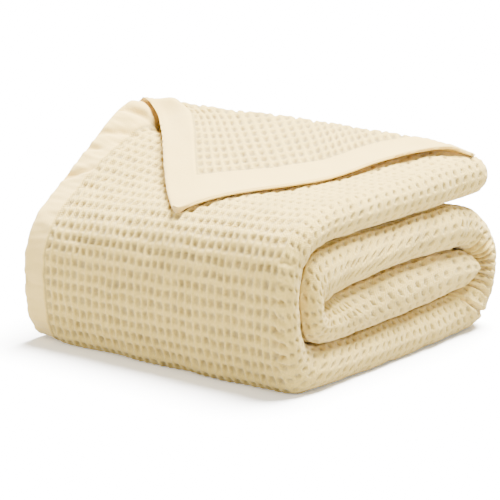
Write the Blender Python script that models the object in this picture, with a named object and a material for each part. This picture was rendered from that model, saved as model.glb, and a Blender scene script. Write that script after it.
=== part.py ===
"""Waffle weave cotton blanket: a folded strip rolled flat into a bundle, one corner turned back.

The blanket is one sheet of cloth. It is folded down to a strip, the strip's width runs along X,
and the strip is rolled in the Y-Z plane: a flat core, a turn over it and a last turn around both.
The strip's round fold shows at +X, its open edges and hem at -X. On top the last turn's corner
rises from the front edge to a peak at -X and is turned back over itself.
All sizes are in millimetres here and scaled to metres by MM.
"""
import math
from typing import NamedTuple

import bmesh
import bpy
import numpy as np

MM = 0.001

# Driving dimensions (mm)
HALF_WIDTH = 150.0        # half of the strip's width, along X
SEAM_GAP = 1.3            # clearance between two turns of the roll
FOLD_DEPTH = 17.0         # how far the round fold at +X bulges out of the band
INNER_FOLD_DEPTH = 9.0    # the same for the hollow side of the outer leaf
NESTED_FOLD_DEPTH = 7.8   # the inner leaves' own fold, inside the outer one
CREASE = 0.5              # radius of a pressed crease
LEFT_FOLD_DEPTH = 8.0     # the small fold that joins two leaves at -X
LEAF_STAGGER = 4.0        # how far the inner free leaf stops short at -X
OUTER_FOLD_STEPS = 7
NESTED_FOLD_STEPS = 5
LEFT_FOLD_STEPS = 4
END_ROUND = 12.0          # length over which the top band's end is rounded off
END_ANGLE = math.radians(66.0)
END_STEPS = 4
END_PULL = 8.0            # how far the fold draws in at that end
RISER_THICKNESS = 5.0     # two layers rise together towards the turned corner
FLAP_THICKNESS = 3.0      # the turned-back corner, one hemmed layer
FLAP_CLEARANCE = 1.2      # air under the turned-back corner's edge

# Leaves of the folded strip: share of the band's thickness, from its inner to its outer side
LEAF_INNER = (0.0, 0.235)
LEAF_SECOND = (0.265, 0.485)
LEAF_THIRD = (0.515, 0.735)
LEAF_OUTER = (0.765, 1.0)


class Knot(NamedTuple):
    """A point of a roll line at the right-hand end (+X) and at the left-hand end (-X)."""

    right_y: float
    right_z: float
    left_y: float
    left_z: float


# The line where the turns meet, from the crease inside the core to the end of the top band
SEAM = (
    Knot(-108.0, 68.0, -106.0, 68.0),    # crease that the core is turned around
    Knot(-88.0, 74.0, -86.0, 74.0),
    Knot(-10.0, 79.5, -10.0, 79.5),
    Knot(78.0, 79.0, 76.0, 79.0),
    Knot(108.0, 74.5, 104.0, 74.5),
    Knot(120.0, 58.5, 116.0, 58.5),      # nose of the core
    Knot(108.0, 42.5, 104.0, 42.5),
    Knot(80.0, 38.5, 78.0, 38.5),
    Knot(-10.0, 35.0, -10.0, 35.0),
    Knot(-98.0, 35.0, -96.0, 35.5),
    Knot(-124.0, 42.0, -123.0, 43.0),
    Knot(-132.5, 60.0, -132.5, 60.0),    # groove behind the front face
    Knot(-132.0, 92.0, -130.0, 82.0),
    Knot(-122.0, 110.0, -117.0, 101.0),
    Knot(-94.0, 117.5, -90.0, 113.5),
    Knot(-10.0, 119.0, -10.0, 117.0),
    Knot(70.0, 120.5, 70.0, 119.0),
    Knot(122.0, 122.0, 122.0, 121.0),
)

# The free outer side of the roll, clockwise from under the top band's end
OUTSIDE = (
    Knot(92.0, 119.5, 92.0, 118.5),
    Knot(114.0, 113.5, 114.0, 112.5),
    Knot(135.0, 100.0, 135.0, 99.0),
    Knot(150.5, 83.0, 150.5, 83.0),
    Knot(156.5, 61.0, 156.5, 61.0),      # widest point at the back
    Knot(155.0, 40.0, 155.0, 40.0),
    Knot(147.0, 19.0, 147.0, 19.0),
    Knot(133.0, 5.0, 133.0, 5.0),
    Knot(114.0, 0.0, 114.0, 0.0),        # bottom, flat on the surface
    Knot(-122.0, 0.0, -124.0, 0.0),
    Knot(-142.0, 4.5, -142.0, 5.0),
    Knot(-152.0, 18.0, -151.5, 19.0),
    Knot(-156.0, 38.0, -156.0, 40.0),
    Knot(-157.0, 64.0, -157.0, 64.0),    # front face
    Knot(-156.0, 92.0, -153.0, 89.0),
    Knot(-150.5, 117.0, -144.0, 105.0),
    Knot(-137.0, 136.0, -129.0, 120.5),
    Knot(-113.0, 147.0, -108.0, 131.0),
    Knot(-78.0, 151.5, -76.0, 139.0),
    Knot(-10.0, 154.5, -10.0, 145.0),
    Knot(70.0, 157.0, 70.0, 149.0),
    Knot(122.0, 159.0, 122.0, 151.0),
)


class Stretch(NamedTuple):
    """A stretch of the rolled strip, between a run of its inner line and a run of its outer line."""

    name: str
    inner_from: float
    inner_to: float
    outer_line: tuple
    outer_from: float
    outer_to: float
    steps: int
    reach: float              # how far its round fold comes out at +X, at the stretch's end


# Places along a line are counted in knots
STRETCHES = (
    Stretch("core end", 4.7, 3.6, SEAM, 5.3, 6.4, 4, 150.0),
    Stretch("core", 3.6, 0.0, SEAM, 6.4, 9.0, 6, 149.0),
    Stretch("crease turn", 0.0, 0.0, SEAM, 9.0, 14.0, 9, 147.0),
    Stretch("second band", 0.0, 3.2, SEAM, 14.0, 16.3, 5, 150.0),
    Stretch("back turn", 3.2, 6.8, OUTSIDE, 0.6, 8.0, 11, 149.0),
    Stretch("bottom band", 6.8, 9.0, OUTSIDE, 8.0, 9.0, 4, 148.0),
    Stretch("front turn", 9.0, 14.0, OUTSIDE, 9.0, 18.0, 14, 144.0),
    Stretch("top band", 14.0, 17.0, OUTSIDE, 18.0, 21.0, 6, 149.0),
)
FRONT_SET_BACK = 4.0      # the front face's fold lies a little further in than the bands


class Ridge(NamedTuple):
    """The turned corner at one place along X."""

    x: float
    ridge_y: float      # crest of the curl
    ridge_z: float      # height of its outer side
    radius: float       # bend radius of the curl, at the cloth's middle
    edge_y: float       # free edge of the turned-back flap
    leave: float        # where the rising layers leave the outside line, in knots
    swell: float        # how far they bulge above the straight line to the curl


TURNED_CORNER = (
    Ridge(-149.0, 3.0, 198.5, 3.5, -3.0, 16.3, 13.0),      # peak at the side hem
    Ridge(-132.0, 13.0, 197.0, 7.0, 2.0, 16.3, 11.0),
    Ridge(3.0, 70.0, 182.0, 8.5, -132.5, 17.3, 4.0),       # tip of the flap, over the front edge
    Ridge(50.0, 79.0, 179.0, 7.5, -84.0, 18.2, 2.0),
    Ridge(82.0, 92.0, 175.5, 6.5, -40.0, 19.0, 1.0),
    Ridge(98.0, 99.0, 173.0, 5.5, 42.0, 19.3, 0.5),
    Ridge(113.0, 107.0, 171.0, 4.5, 92.0, 19.5, 0.0),
    Ridge(126.0, 114.0, 168.5, 3.5, 106.0, 19.7, 0.0),
    Ridge(139.0, 117.0, 166.5, 3.0, 112.0, 20.0, 0.0),     # the curl runs out at the fold end
)
CURL_START_X = -132.0     # left of this the curl is cut off by the side hem
CORNER_SEAT = 2.6         # how deep the rising layers start inside the band
CORNER_STATIONS = (-149.0, -143.0, -137.0, -131.0, -115.0, -92.0, -65.0, -38.0, -14.0, 3.0,
                   18.0, 34.0, 50.0, 67.0, 82.0, 98.0, 113.0, 126.0, 139.0)
MIN_CURL = 0.45           # share of the curl that is left where the side hem cuts it off
CURL_STEPS = 6
FLAP_STEPS = 8
HEM_STEP = 0.25           # spacing of the points gathered at the side hem
RISE_STEPS = 6
LAY_KNOTS = 4.0           # how much of the outside line the flap can lie on, in knots
LAY_STEPS = 16
LAY_SPAN = 4.0            # length over which the lay's slope is taken
REACH_STEP = 1.0          # how finely the flap's length is found
FLAP_SETTLE = 1.6         # how soon the flap settles down on the layers below

SLOPE_STEP = 0.02         # share of a knot over which a line's slope is taken
COTTON_COLOUR = (0.86, 0.75, 0.57, 1.0)
COTTON_ROUGHNESS = 0.92
SHARP_ANGLE = 40.0


def blend(first: np.ndarray, second: np.ndarray, low: float, high: float, here: float) -> np.ndarray:
    """Point between two others, at a parameter between low and high."""
    share = (here - low) / (high - low)
    return (1.0 - share) * first + share * second


def spline(points: np.ndarray, place: float) -> np.ndarray:
    """Point of a centripetal curve through the given points, at a place counted in points."""
    last = len(points) - 1
    index = min(int(place), last - 1)
    before = points[index - 1] if index > 0 else 2.0 * points[0] - points[1]
    after = points[index + 2] if index + 2 <= last else 2.0 * points[last] - points[last - 1]
    line = (before, points[index], points[index + 1], after)
    knots = [0.0]
    for start, end in zip(line, line[1:]):
        knots.append(knots[-1] + math.sqrt(np.linalg.norm(end - start)))
    here = knots[1] + (place - index) * (knots[2] - knots[1])
    first = [blend(line[i], line[i + 1], knots[i], knots[i + 1], here) for i in range(3)]
    second = [blend(first[i], first[i + 1], knots[i], knots[i + 2], here) for i in range(2)]
    return blend(second[0], second[1], knots[1], knots[2], here)


def ends_of(line: tuple) -> tuple:
    """Right-hand and left-hand points of a roll line, as two arrays."""
    right = np.array([(knot.right_y, knot.right_z) for knot in line])
    left = np.array([(knot.left_y, knot.left_z) for knot in line])
    return right, left


def normal_at(points: np.ndarray, place: float) -> np.ndarray:
    """Outward unit normal of a clockwise line."""
    last = len(points) - 1
    ahead = spline(points, min(place + SLOPE_STEP, last))
    behind = spline(points, max(place - SLOPE_STEP, 0.0))
    along = (ahead - behind) / np.linalg.norm(ahead - behind)
    return np.array([-along[1], along[0]])


def flank(points: np.ndarray, place: float, side: float) -> np.ndarray:
    """Point half a gap to one side of the seam: side is +1 outside, -1 inside."""
    return spline(points, place) + side * 0.5 * SEAM_GAP * normal_at(points, place)


class Station(NamedTuple):
    """A place along the strip: its (inner, outer) points at both ends, and its fold's reach."""

    right: tuple
    left: tuple
    reach: float


def strip_lines() -> list:
    """The strip's stations, from the core's nose to the end of the top band."""
    stations = []
    for number, stretch in enumerate(STRETCHES):
        first = 0 if number == 0 else 1
        before = STRETCHES[max(number - 1, 0)].reach
        for step in range(first, stretch.steps + 1):
            share = step / stretch.steps
            inner_place = stretch.inner_from + share * (stretch.inner_to - stretch.inner_from)
            outer_place = stretch.outer_from + share * (stretch.outer_to - stretch.outer_from)
            pair = []
            for end, seam in enumerate(ends_of(SEAM)):
                inner = inner_point(stretch, seam, inner_place, share)
                if stretch.outer_line is SEAM:
                    outer = flank(seam, outer_place, -1.0)
                else:
                    outer = spline(ends_of(OUTSIDE)[end], outer_place)
                pair.append((inner, outer))
            reach = before + share * (stretch.reach - before)
            if stretch.name == "front turn":
                reach -= FRONT_SET_BACK * math.sin(math.pi * share)
            stations.append(Station(pair[0], pair[1], reach))
    return stations


def inner_point(stretch: Stretch, seam: np.ndarray, place: float, share: float) -> np.ndarray:
    """Inner side of the strip: it runs along the seam and turns around the seam's crease."""
    if stretch.name == "crease turn":
        normal = normal_at(seam, 0.0)
        along = np.array([normal[1], -normal[0]])
        angle = math.pi * share
        return seam[0] - 0.5 * SEAM_GAP * (math.cos(angle) * normal + math.sin(angle) * along)
    side = -1.0 if stretch.name.startswith("core") else 1.0
    return flank(seam, place, side)


def fold_arc(centre_x: float, depths: tuple, centre: float, halves: tuple, steps: int, turn: float) -> list:
    """Ribbon stations around a fold; turn is +1 for a fold at +X from outer to inner side."""
    stations = []
    for step in range(1, steps):
        angle = turn * (0.5 * math.pi - math.pi * step / steps)
        pair = []
        for depth, half in zip(depths, halves):
            pair.append((centre_x + depth * math.cos(angle), centre + half * math.sin(angle)))
        stations.append(tuple(pair))
    return stations


def strip_section() -> list:
    """Back-and-forth section of the folded strip: pairs of (x, share of thickness)."""
    left = -HALF_WIDTH
    fold_x = HALF_WIDTH - FOLD_DEPTH
    left_fold_x = left + LEFT_FOLD_DEPTH
    middle = 0.5 * (LEAF_INNER[0] + LEAF_OUTER[1])
    slot_middle = 0.5 * (LEAF_INNER[1] + LEAF_SECOND[0])
    slot_half = slot_middle - LEAF_INNER[1]
    pair_half = 0.5 * LEAF_SECOND[1]
    section = [
        ((left, LEAF_OUTER[1]), (left, LEAF_OUTER[0])),
        ((fold_x, LEAF_OUTER[1]), (fold_x, LEAF_OUTER[0])),
    ]
    section += fold_arc(fold_x, (FOLD_DEPTH, INNER_FOLD_DEPTH), middle,
                        (middle, middle - LEAF_INNER[1]), OUTER_FOLD_STEPS, 1.0)
    section.append(((fold_x, LEAF_INNER[0]), (fold_x, LEAF_INNER[1])))
    section.append(((left_fold_x, LEAF_INNER[0]), (left_fold_x, LEAF_INNER[1])))
    for step in range(1, LEFT_FOLD_STEPS):
        angle = math.pi * step / LEFT_FOLD_STEPS
        section.append((
            (left_fold_x - LEFT_FOLD_DEPTH * math.sin(angle), pair_half * (1.0 - math.cos(angle))),
            (left_fold_x - CREASE * math.sin(angle), slot_middle - slot_half * math.cos(angle)),
        ))
    section.append(((left_fold_x, LEAF_SECOND[1]), (left_fold_x, LEAF_SECOND[0])))
    section.append(((fold_x, LEAF_SECOND[1]), (fold_x, LEAF_SECOND[0])))
    section += fold_arc(fold_x, (CREASE, NESTED_FOLD_DEPTH), middle,
                        (middle - LEAF_SECOND[1], middle - LEAF_SECOND[0]), NESTED_FOLD_STEPS, -1.0)
    section.append(((fold_x, LEAF_THIRD[0]), (fold_x, LEAF_THIRD[1])))
    section.append(((left + LEAF_STAGGER, LEAF_THIRD[0]), (left + LEAF_STAGGER, LEAF_THIRD[1])))
    return section


def place_in_roll(station: Station, x: float, share: float) -> tuple:
    """World point (mm) of a place in the strip: x across it and share of its thickness.

    The underside is pressed flat on the surface that the bundle lies on, at z = 0.
    """
    to_right = (x + HALF_WIDTH) / (2.0 * HALF_WIDTH)
    inner = to_right * station.right[0] + (1.0 - to_right) * station.left[0]
    outer = to_right * station.right[1] + (1.0 - to_right) * station.left[1]
    point = inner + share * (outer - inner)
    return (x + to_right * (station.reach - HALF_WIDTH), point[0], max(point[1], 0.0))


def rounded_end(stations: list) -> list:
    """Adds the top band's rounded end: its last station moves on and closes in."""
    ended = list(stations)
    last = stations[-1]
    for step in range(1, END_STEPS + 1):
        angle = END_ANGLE * step / END_STEPS
        shift = np.array([END_ROUND * math.sin(angle), 0.0])
        ends = []
        for inner, outer in (last.right, last.left):
            middle = 0.5 * (inner + outer)
            ends.append((middle + math.cos(angle) * (inner - middle) + shift,
                         middle + math.cos(angle) * (outer - middle) + shift))
        ended.append(Station(ends[0], ends[1], last.reach - END_PULL * (1.0 - math.cos(angle))))
    return ended


def mesh_body(name: str, rings: list) -> bpy.types.Object:
    """Closed body from rings of points; the end caps are laid across the ribbon."""
    mesh = bmesh.new()
    rows = [[mesh.verts.new([value * MM for value in point]) for point in ring] for ring in rings]
    count = len(rows[0])
    for row, following in zip(rows, rows[1:]):
        for i in range(count):
            j = (i + 1) % count
            mesh.faces.new((row[i], row[j], following[j], following[i]))
    for row in (rows[0], rows[-1]):
        for i in range(count // 2 - 1):
            mesh.faces.new((row[i], row[i + 1], row[count - 2 - i], row[count - 1 - i]))
    bmesh.ops.recalc_face_normals(mesh, faces=mesh.faces)
    data = bpy.data.meshes.new(name)
    mesh.to_mesh(data)
    mesh.free()
    body = bpy.data.objects.new(name, data)
    bpy.context.collection.objects.link(body)
    return body


def build_roll() -> bpy.types.Object:
    """The folded strip, rolled up."""
    section = strip_section()
    outline = [pair[0] for pair in section] + [pair[1] for pair in reversed(section)]
    stations = rounded_end(strip_lines())
    rings = [[place_in_roll(station, x, share) for x, share in outline] for station in stations]
    return mesh_body("waffle_blanket", rings)


def ridge_at(x: float) -> Ridge:
    """The turned corner's values at a place along X, between the rows of its table."""
    for low, high in zip(TURNED_CORNER, TURNED_CORNER[1:]):
        if x <= high.x:
            share = max(0.0, (x - low.x) / (high.x - low.x))
            values = [(1.0 - share) * a + share * b for a, b in zip(low, high)]
            return Ridge(*values)
    return TURNED_CORNER[-1]


def outside_at(x: float, place: float) -> np.ndarray:
    """Point of the roll's outside line at a place along X."""
    right, left = ends_of(OUTSIDE)
    to_right = (x + HALF_WIDTH) / (2.0 * HALF_WIDTH)
    return to_right * spline(right, place) + (1.0 - to_right) * spline(left, place)


def lay_line(x: float, ridge: Ridge) -> tuple:
    """Top side of the rising layers at one place along X, from the curl forward and down the front.

    Returns the line's points and the unit direction in which the layers rise.
    """
    leave = outside_at(x, ridge.leave)
    crest = np.array([ridge.ridge_y, ridge.ridge_z - 2.0 * ridge.radius - 0.5 * FLAP_THICKNESS])
    rise = (crest - leave) / np.linalg.norm(crest - leave)
    lift = np.array([-rise[1], rise[0]])
    curl_foot = crest + 0.5 * RISER_THICKNESS * lift
    points = []
    for step in range(RISE_STEPS):
        share = step / RISE_STEPS
        bulge = 4.0 * ridge.swell * share * (1.0 - share)
        points.append(curl_foot + share * (leave - curl_foot) + bulge * lift)
    for step in range(LAY_STEPS + 1):
        points.append(outside_at(x, ridge.leave - LAY_KNOTS * step / LAY_STEPS))
    return np.array(points), rise


def along_line(points: np.ndarray, length: float) -> np.ndarray:
    """Point of a polyline at a length from its start, and past its ends on their own slope."""
    steps = np.linalg.norm(np.diff(points, axis=0), axis=1)
    lengths = np.concatenate([[0.0], np.cumsum(steps)])
    if length < 0.0:
        return points[0] + length * (points[1] - points[0]) / steps[0]
    return np.array([np.interp(length, lengths, points[:, axis]) for axis in (0, 1)])


def reach_to(points: np.ndarray, edge_y: float) -> float:
    """Length along a polyline that runs forward, from its start to where it meets edge_y."""
    length = 0.0
    while along_line(points, length)[0] > edge_y:
        length += REACH_STEP
    return length


def corner_profile(x: float) -> list:
    """Cross-section of the turned corner at one place along X: (middle, normal, half thickness)."""
    ridge = ridge_at(x)
    line, rise = lay_line(x, ridge)
    lift = np.array([-rise[1], rise[0]])
    half_rise = 0.5 * RISER_THICKNESS
    half_flap = 0.5 * FLAP_THICKNESS
    profile = []
    seat = line[RISE_STEPS + 1] - CORNER_SEAT * lift
    profile.append((seat - half_rise * lift, lift, half_rise))
    for step in range(RISE_STEPS, -1, -1):
        profile.append((line[step] - half_rise * lift, lift, half_rise))
    centre = line[0] + (ridge.radius - half_rise) * lift
    cut = min(1.0, max(MIN_CURL, (x + HALF_WIDTH) / (CURL_START_X + HALF_WIDTH)))
    for step in range(1, CURL_STEPS + 1):
        share = step / CURL_STEPS
        angle = math.pi * cut * share
        radial = math.sin(angle) * rise - math.cos(angle) * lift
        half = half_rise + (half_flap - half_rise) * share
        profile.append((centre + ridge.radius * radial, -radial, half))
    if cut < 1.0:
        middle, normal, half = profile[-1]
        along = np.array([-normal[1], normal[0]])
        for step in range(1, FLAP_STEPS + 1):
            profile.append((middle - HEM_STEP * step * along, normal, half))
        return profile
    reach = reach_to(line, ridge.edge_y)
    start_height = 2.0 * ridge.radius - half_rise
    edge_height = FLAP_CLEARANCE + half_flap
    for step in range(1, FLAP_STEPS + 1):
        share = step / FLAP_STEPS
        length = reach * share
        back = along_line(line, length - LAY_SPAN) - along_line(line, length + LAY_SPAN)
        normal = np.array([-back[1], back[0]]) / np.linalg.norm(back)
        height = edge_height + (start_height - edge_height) * (1.0 - share) ** FLAP_SETTLE
        profile.append((along_line(line, length) + height * normal, -normal, half_flap))
    return profile


def build_corner() -> bpy.types.Object:
    """The two layers that rise to the peak, the curl over it and the flap turned back on top."""
    rings = []
    for x in CORNER_STATIONS:
        profile = corner_profile(x)
        upper = [(x, *(middle + half * normal)) for middle, normal, half in profile]
        lower = [(x, *(middle - half * normal)) for middle, normal, half in reversed(profile)]
        rings.append(upper + lower)
    return mesh_body("turned_corner", rings)


def cotton_material() -> bpy.types.Material:
    """Soft matt cream cotton."""
    material = bpy.data.materials.new("cream_cotton")
    material.use_nodes = True
    shader = material.node_tree.nodes["Principled BSDF"]
    shader.inputs["Base Color"].default_value = COTTON_COLOUR
    shader.inputs["Roughness"].default_value = COTTON_ROUGHNESS
    shader.inputs["Metallic"].default_value = 0.0
    return material


def join_bodies(body: bpy.types.Object, other: bpy.types.Object) -> None:
    """Joins another body into the first one with a Boolean union, applied at once."""
    union = body.modifiers.new("one_cloth", "BOOLEAN")
    union.operation = "UNION"
    union.solver = "EXACT"
    union.object = other
    graph = bpy.context.evaluated_depsgraph_get()
    joined = bpy.data.meshes.new_from_object(body.evaluated_get(graph))
    body.modifiers.clear()
    body.data = joined
    bpy.data.objects.remove(other)


def main() -> None:
    """Builds the blanket as one body."""
    for old in list(bpy.data.objects):
        bpy.data.objects.remove(old)
    blanket = build_roll()
    join_bodies(blanket, build_corner())
    blanket.data.materials.clear()
    blanket.data.materials.append(cotton_material())
    blanket.data.shade_smooth()
    blanket.data.set_sharp_from_angle(angle=math.radians(SHARP_ANGLE))


main()
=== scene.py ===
"""Waffle weave cotton blanket: a folded strip rolled into a bundle, one hemmed corner turned back.

The strip's width runs along X and the strip is rolled in the Y-Z plane. Cloth places are given as
(across, along): across is the distance from the side hem's edge at -X, over the strip's outer side
and around its fold at +X; along is the distance along the rolled strip, from the core's nose. All
sizes are in millimetres, and ClothMesh turns them into metres.
"""

import logging
import math
from dataclasses import dataclass, field
from enum import Enum
from typing import NamedTuple

import bpy
import numpy as np
from mathutils import Matrix, Vector


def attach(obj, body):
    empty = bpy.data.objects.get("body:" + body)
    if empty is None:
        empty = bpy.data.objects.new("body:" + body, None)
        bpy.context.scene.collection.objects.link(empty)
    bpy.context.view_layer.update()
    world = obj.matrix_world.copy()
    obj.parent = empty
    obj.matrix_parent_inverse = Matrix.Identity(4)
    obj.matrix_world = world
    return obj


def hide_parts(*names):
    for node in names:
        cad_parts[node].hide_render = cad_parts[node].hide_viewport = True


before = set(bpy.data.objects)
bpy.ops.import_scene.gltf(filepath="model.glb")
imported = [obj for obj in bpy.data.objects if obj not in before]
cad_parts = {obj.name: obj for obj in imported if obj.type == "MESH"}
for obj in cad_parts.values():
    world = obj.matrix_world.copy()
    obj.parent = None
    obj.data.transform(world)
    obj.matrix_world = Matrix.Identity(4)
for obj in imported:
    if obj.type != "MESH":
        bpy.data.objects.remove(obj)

MM = 0.001
CLOTH = 3.4             # thickness of the cloth over its relief
WALL_GAP = 1.9          # how much deeper an inner wall lies where hollows reach down to it
MARGIN = (1.2, 2.4)     # places of the two lines past a sheet's end that steady its normals
FREE = 1000.0           # added to a place along the strip, as no end hem shows there
log = logging.getLogger("blanket")


# ---------------------------------------------------------------- lines of the roll


class Knot(NamedTuple):
    """A point of a roll line at the right-hand end (+X) and at the left-hand end (-X)."""

    right_y: float
    right_z: float
    left_y: float
    left_z: float


# The line where the turns meet, from the crease inside the core to the end of the top band
SEAM = (
    Knot(-108.0, 68.0, -106.0, 68.0),
    Knot(-88.0, 74.0, -86.0, 74.0),
    Knot(-10.0, 79.5, -10.0, 79.5),
    Knot(78.0, 79.0, 76.0, 79.0),
    Knot(111.0, 73.5, 107.0, 73.5),
    Knot(120.0, 58.5, 116.0, 58.5),
    Knot(111.0, 43.5, 107.0, 43.5),
    Knot(80.0, 38.5, 78.0, 38.5),
    Knot(-10.0, 35.0, -10.0, 35.0),
    Knot(-98.0, 35.0, -96.0, 35.5),
    Knot(-124.0, 42.0, -123.0, 43.0),
    Knot(-132.5, 60.0, -132.5, 60.0),
    Knot(-132.0, 92.0, -130.0, 82.0),
    Knot(-122.0, 110.0, -117.0, 101.0),
    Knot(-94.0, 117.5, -90.0, 113.5),
    Knot(-10.0, 119.0, -10.0, 117.0),
    Knot(70.0, 120.5, 70.0, 119.0),
    Knot(122.0, 122.0, 122.0, 121.0),
)

# The free outer side of the roll, clockwise from under the top band's end
OUTSIDE = (
    Knot(92.0, 119.5, 92.0, 118.5),
    Knot(114.0, 113.5, 114.0, 112.5),
    Knot(135.0, 100.0, 135.0, 99.0),
    Knot(150.5, 83.0, 150.5, 83.0),
    Knot(156.5, 61.0, 156.5, 61.0),
    Knot(155.0, 40.0, 155.0, 40.0),
    Knot(147.0, 19.0, 147.0, 19.0),
    Knot(133.0, 5.0, 133.0, 5.0),
    Knot(114.0, 0.0, 114.0, 0.0),
    Knot(-122.0, 0.0, -124.0, 0.0),
    Knot(-142.0, 4.5, -142.0, 5.0),
    Knot(-152.0, 18.0, -151.5, 19.0),
    Knot(-156.0, 38.0, -156.0, 40.0),
    Knot(-157.0, 64.0, -157.0, 64.0),
    Knot(-156.0, 92.0, -153.0, 89.0),
    Knot(-150.5, 117.0, -144.0, 105.0),
    Knot(-137.0, 136.0, -129.0, 120.5),
    Knot(-113.0, 147.0, -108.0, 131.0),
    Knot(-78.0, 151.5, -76.0, 139.0),
    Knot(-10.0, 154.5, -10.0, 145.0),
    Knot(70.0, 157.0, 70.0, 149.0),
    Knot(122.0, 159.0, 122.0, 151.0),
)


class Stretch(NamedTuple):
    """A stretch of the rolled strip, between runs of its inner and its outer line."""

    name: str
    inner_from: float
    inner_to: float
    outer_line: tuple
    outer_from: float
    outer_to: float
    steps: int
    reach: float


# Places along a line are counted in knots
STRETCHES = (
    Stretch("core end", 4.7, 3.6, SEAM, 5.3, 6.4, 40, 150.0),
    Stretch("core", 3.6, 0.0, SEAM, 6.4, 9.0, 60, 149.0),
    Stretch("crease turn", 0.0, 0.0, SEAM, 9.0, 14.0, 90, 147.0),
    Stretch("second band", 0.0, 3.2, SEAM, 14.0, 16.3, 50, 150.0),
    Stretch("back turn", 3.2, 6.8, OUTSIDE, 0.6, 8.0, 110, 149.0),
    Stretch("bottom band", 6.8, 9.0, OUTSIDE, 8.0, 9.0, 40, 148.0),
    Stretch("front turn", 9.0, 14.0, OUTSIDE, 9.0, 18.0, 140, 144.0),
    Stretch("top band", 14.0, 17.0, OUTSIDE, 18.0, 21.0, 60, 149.0),
)


class Ridge(NamedTuple):
    """The turned corner at one place along X."""

    x: float
    ridge_y: float      # crest of the curl
    ridge_z: float      # height of its outer side
    radius: float       # bend radius of the curl, at the cloth's middle
    leave: float        # where the rising cloth leaves the outside line, in knots
    swell: float        # how far it bulges above the straight line to the curl


TURNED_CORNER = (
    Ridge(-149.0, 4.0, 202.0, 2.8, 16.3, 12.0),
    Ridge(-141.0, 8.0, 201.6, 3.6, 16.3, 12.0),
    Ridge(-126.0, 17.0, 200.0, 8.5, 16.4, 10.0),
    Ridge(3.0, 70.0, 183.0, 8.5, 17.3, 4.0),
    Ridge(50.0, 79.0, 179.0, 7.5, 18.2, 2.0),
    Ridge(82.0, 92.0, 175.5, 6.5, 19.0, 1.0),
    Ridge(98.0, 99.0, 173.0, 5.5, 19.3, 0.5),
    Ridge(113.0, 107.0, 171.0, 4.5, 19.5, 0.0),
    Ridge(126.0, 114.0, 168.0, 3.2, 19.7, 0.0),
    Ridge(139.0, 117.0, 164.5, 2.2, 20.0, 0.0),
)


class RisePoint(NamedTuple):
    """A point of the rising side hem's edge at X = -150, where the hem lifts off the roll."""

    y: float
    z: float


HEM_RISE = (
    RisePoint(-154.5, 82.0),
    RisePoint(-151.0, 93.0),
    RisePoint(-144.5, 104.5),
    RisePoint(-134.0, 115.5),
    RisePoint(-122.0, 125.5),
    RisePoint(-109.0, 134.5),
    RisePoint(-94.0, 145.5),
    RisePoint(-77.0, 157.5),
    RisePoint(-59.0, 170.0),
    RisePoint(-43.0, 181.5),
    RisePoint(-25.0, 192.0),
    RisePoint(-10.0, 196.5),
    RisePoint(1.0, 195.0),
)


class EdgePoint(NamedTuple):
    """A point of the turned-back flap's hemmed end edge, seen from above."""

    x: float
    y: float


FLAP_EDGE = (
    EdgePoint(3.0, -132.5),
    EdgePoint(26.0, -109.0),
    EdgePoint(48.0, -86.0),
    EdgePoint(68.0, -64.0),
    EdgePoint(81.0, -40.0),
    EdgePoint(91.0, 0.0),
    EdgePoint(98.0, 42.0),
    EdgePoint(105.0, 71.0),
    EdgePoint(114.0, 94.0),
    EdgePoint(125.0, 109.0),
    EdgePoint(137.0, 115.0),
)


def smooth(value: np.ndarray) -> np.ndarray:
    """Soft step from 0 to 1 as the value goes from 0 to 1."""
    inside = np.clip(value, 0.0, 1.0)
    return inside * inside * (3.0 - 2.0 * inside)


def curve_at(knots: np.ndarray, places: np.ndarray) -> np.ndarray:
    """Points of a centripetal curve through the knots.

    Args:
        knots: the points that the curve goes through, one a row.
        places: where to read it, counted in knots.

    Returns:
        One point a place.
    """
    last = len(knots) - 1
    padded = np.vstack([2.0 * knots[0] - knots[1], knots, 2.0 * knots[last] - knots[last - 1]])
    index = np.clip(np.floor(places).astype(int), 0, last - 1)
    points = padded[index[:, None] + np.arange(4)]
    gaps = np.sqrt(np.linalg.norm(np.diff(points, axis=1), axis=2))
    times = np.concatenate([np.zeros((len(index), 1)), np.cumsum(gaps, axis=1)], axis=1)
    here = (times[:, 1] + (places - index) * (times[:, 2] - times[:, 1]))[:, None]
    row = [points[:, i] for i in range(4)]
    spans = (((0, 1), (1, 2), (2, 3)), ((0, 2), (1, 3)), ((1, 2),))
    for level in spans:
        following = []
        for i, (low, high) in enumerate(level):
            start, end = times[:, low:low + 1], times[:, high:high + 1]
            following.append(((end - here) * row[i] + (here - start) * row[i + 1]) / (end - start))
        row = following
    return row[0]


def side_normals(knots: np.ndarray, places: np.ndarray, step: float = 0.02) -> np.ndarray:
    """Unit normals on the outer side of a clockwise line.

    Args:
        knots: the points that the line goes through, one a row.
        places: where to read it, counted in knots.
        step: share of a knot over which the line's way is taken.

    Returns:
        One unit normal a place.
    """
    last = len(knots) - 1
    ahead = curve_at(knots, np.minimum(places + step, last))
    behind = curve_at(knots, np.maximum(places - step, 0.0))
    along = (ahead - behind) / np.linalg.norm(ahead - behind, axis=1)[:, None]
    return np.stack([-along[:, 1], along[:, 0]], axis=1)


def ripple(first: np.ndarray, second: np.ndarray, size: float, seed: int) -> np.ndarray:
    """Smooth unevenness of about -1 to 1: a few waves of one size in seeded directions.

    Args:
        first: places one way over the cloth.
        second: places the other way.
        size: length of the waves.
        seed: number that sets their directions.

    Returns:
        The unevenness at each place.
    """
    rng = np.random.default_rng(seed)
    total = np.zeros(np.broadcast(first, second).shape)
    for _ in range(7):
        turn, phase = rng.uniform(0.0, math.tau, 2)
        wave = size * rng.uniform(0.7, 1.5)
        place = first * math.cos(turn) + second * math.sin(turn)
        total += np.sin(place * math.tau / wave + phase)
    return total / 3.0


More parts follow.
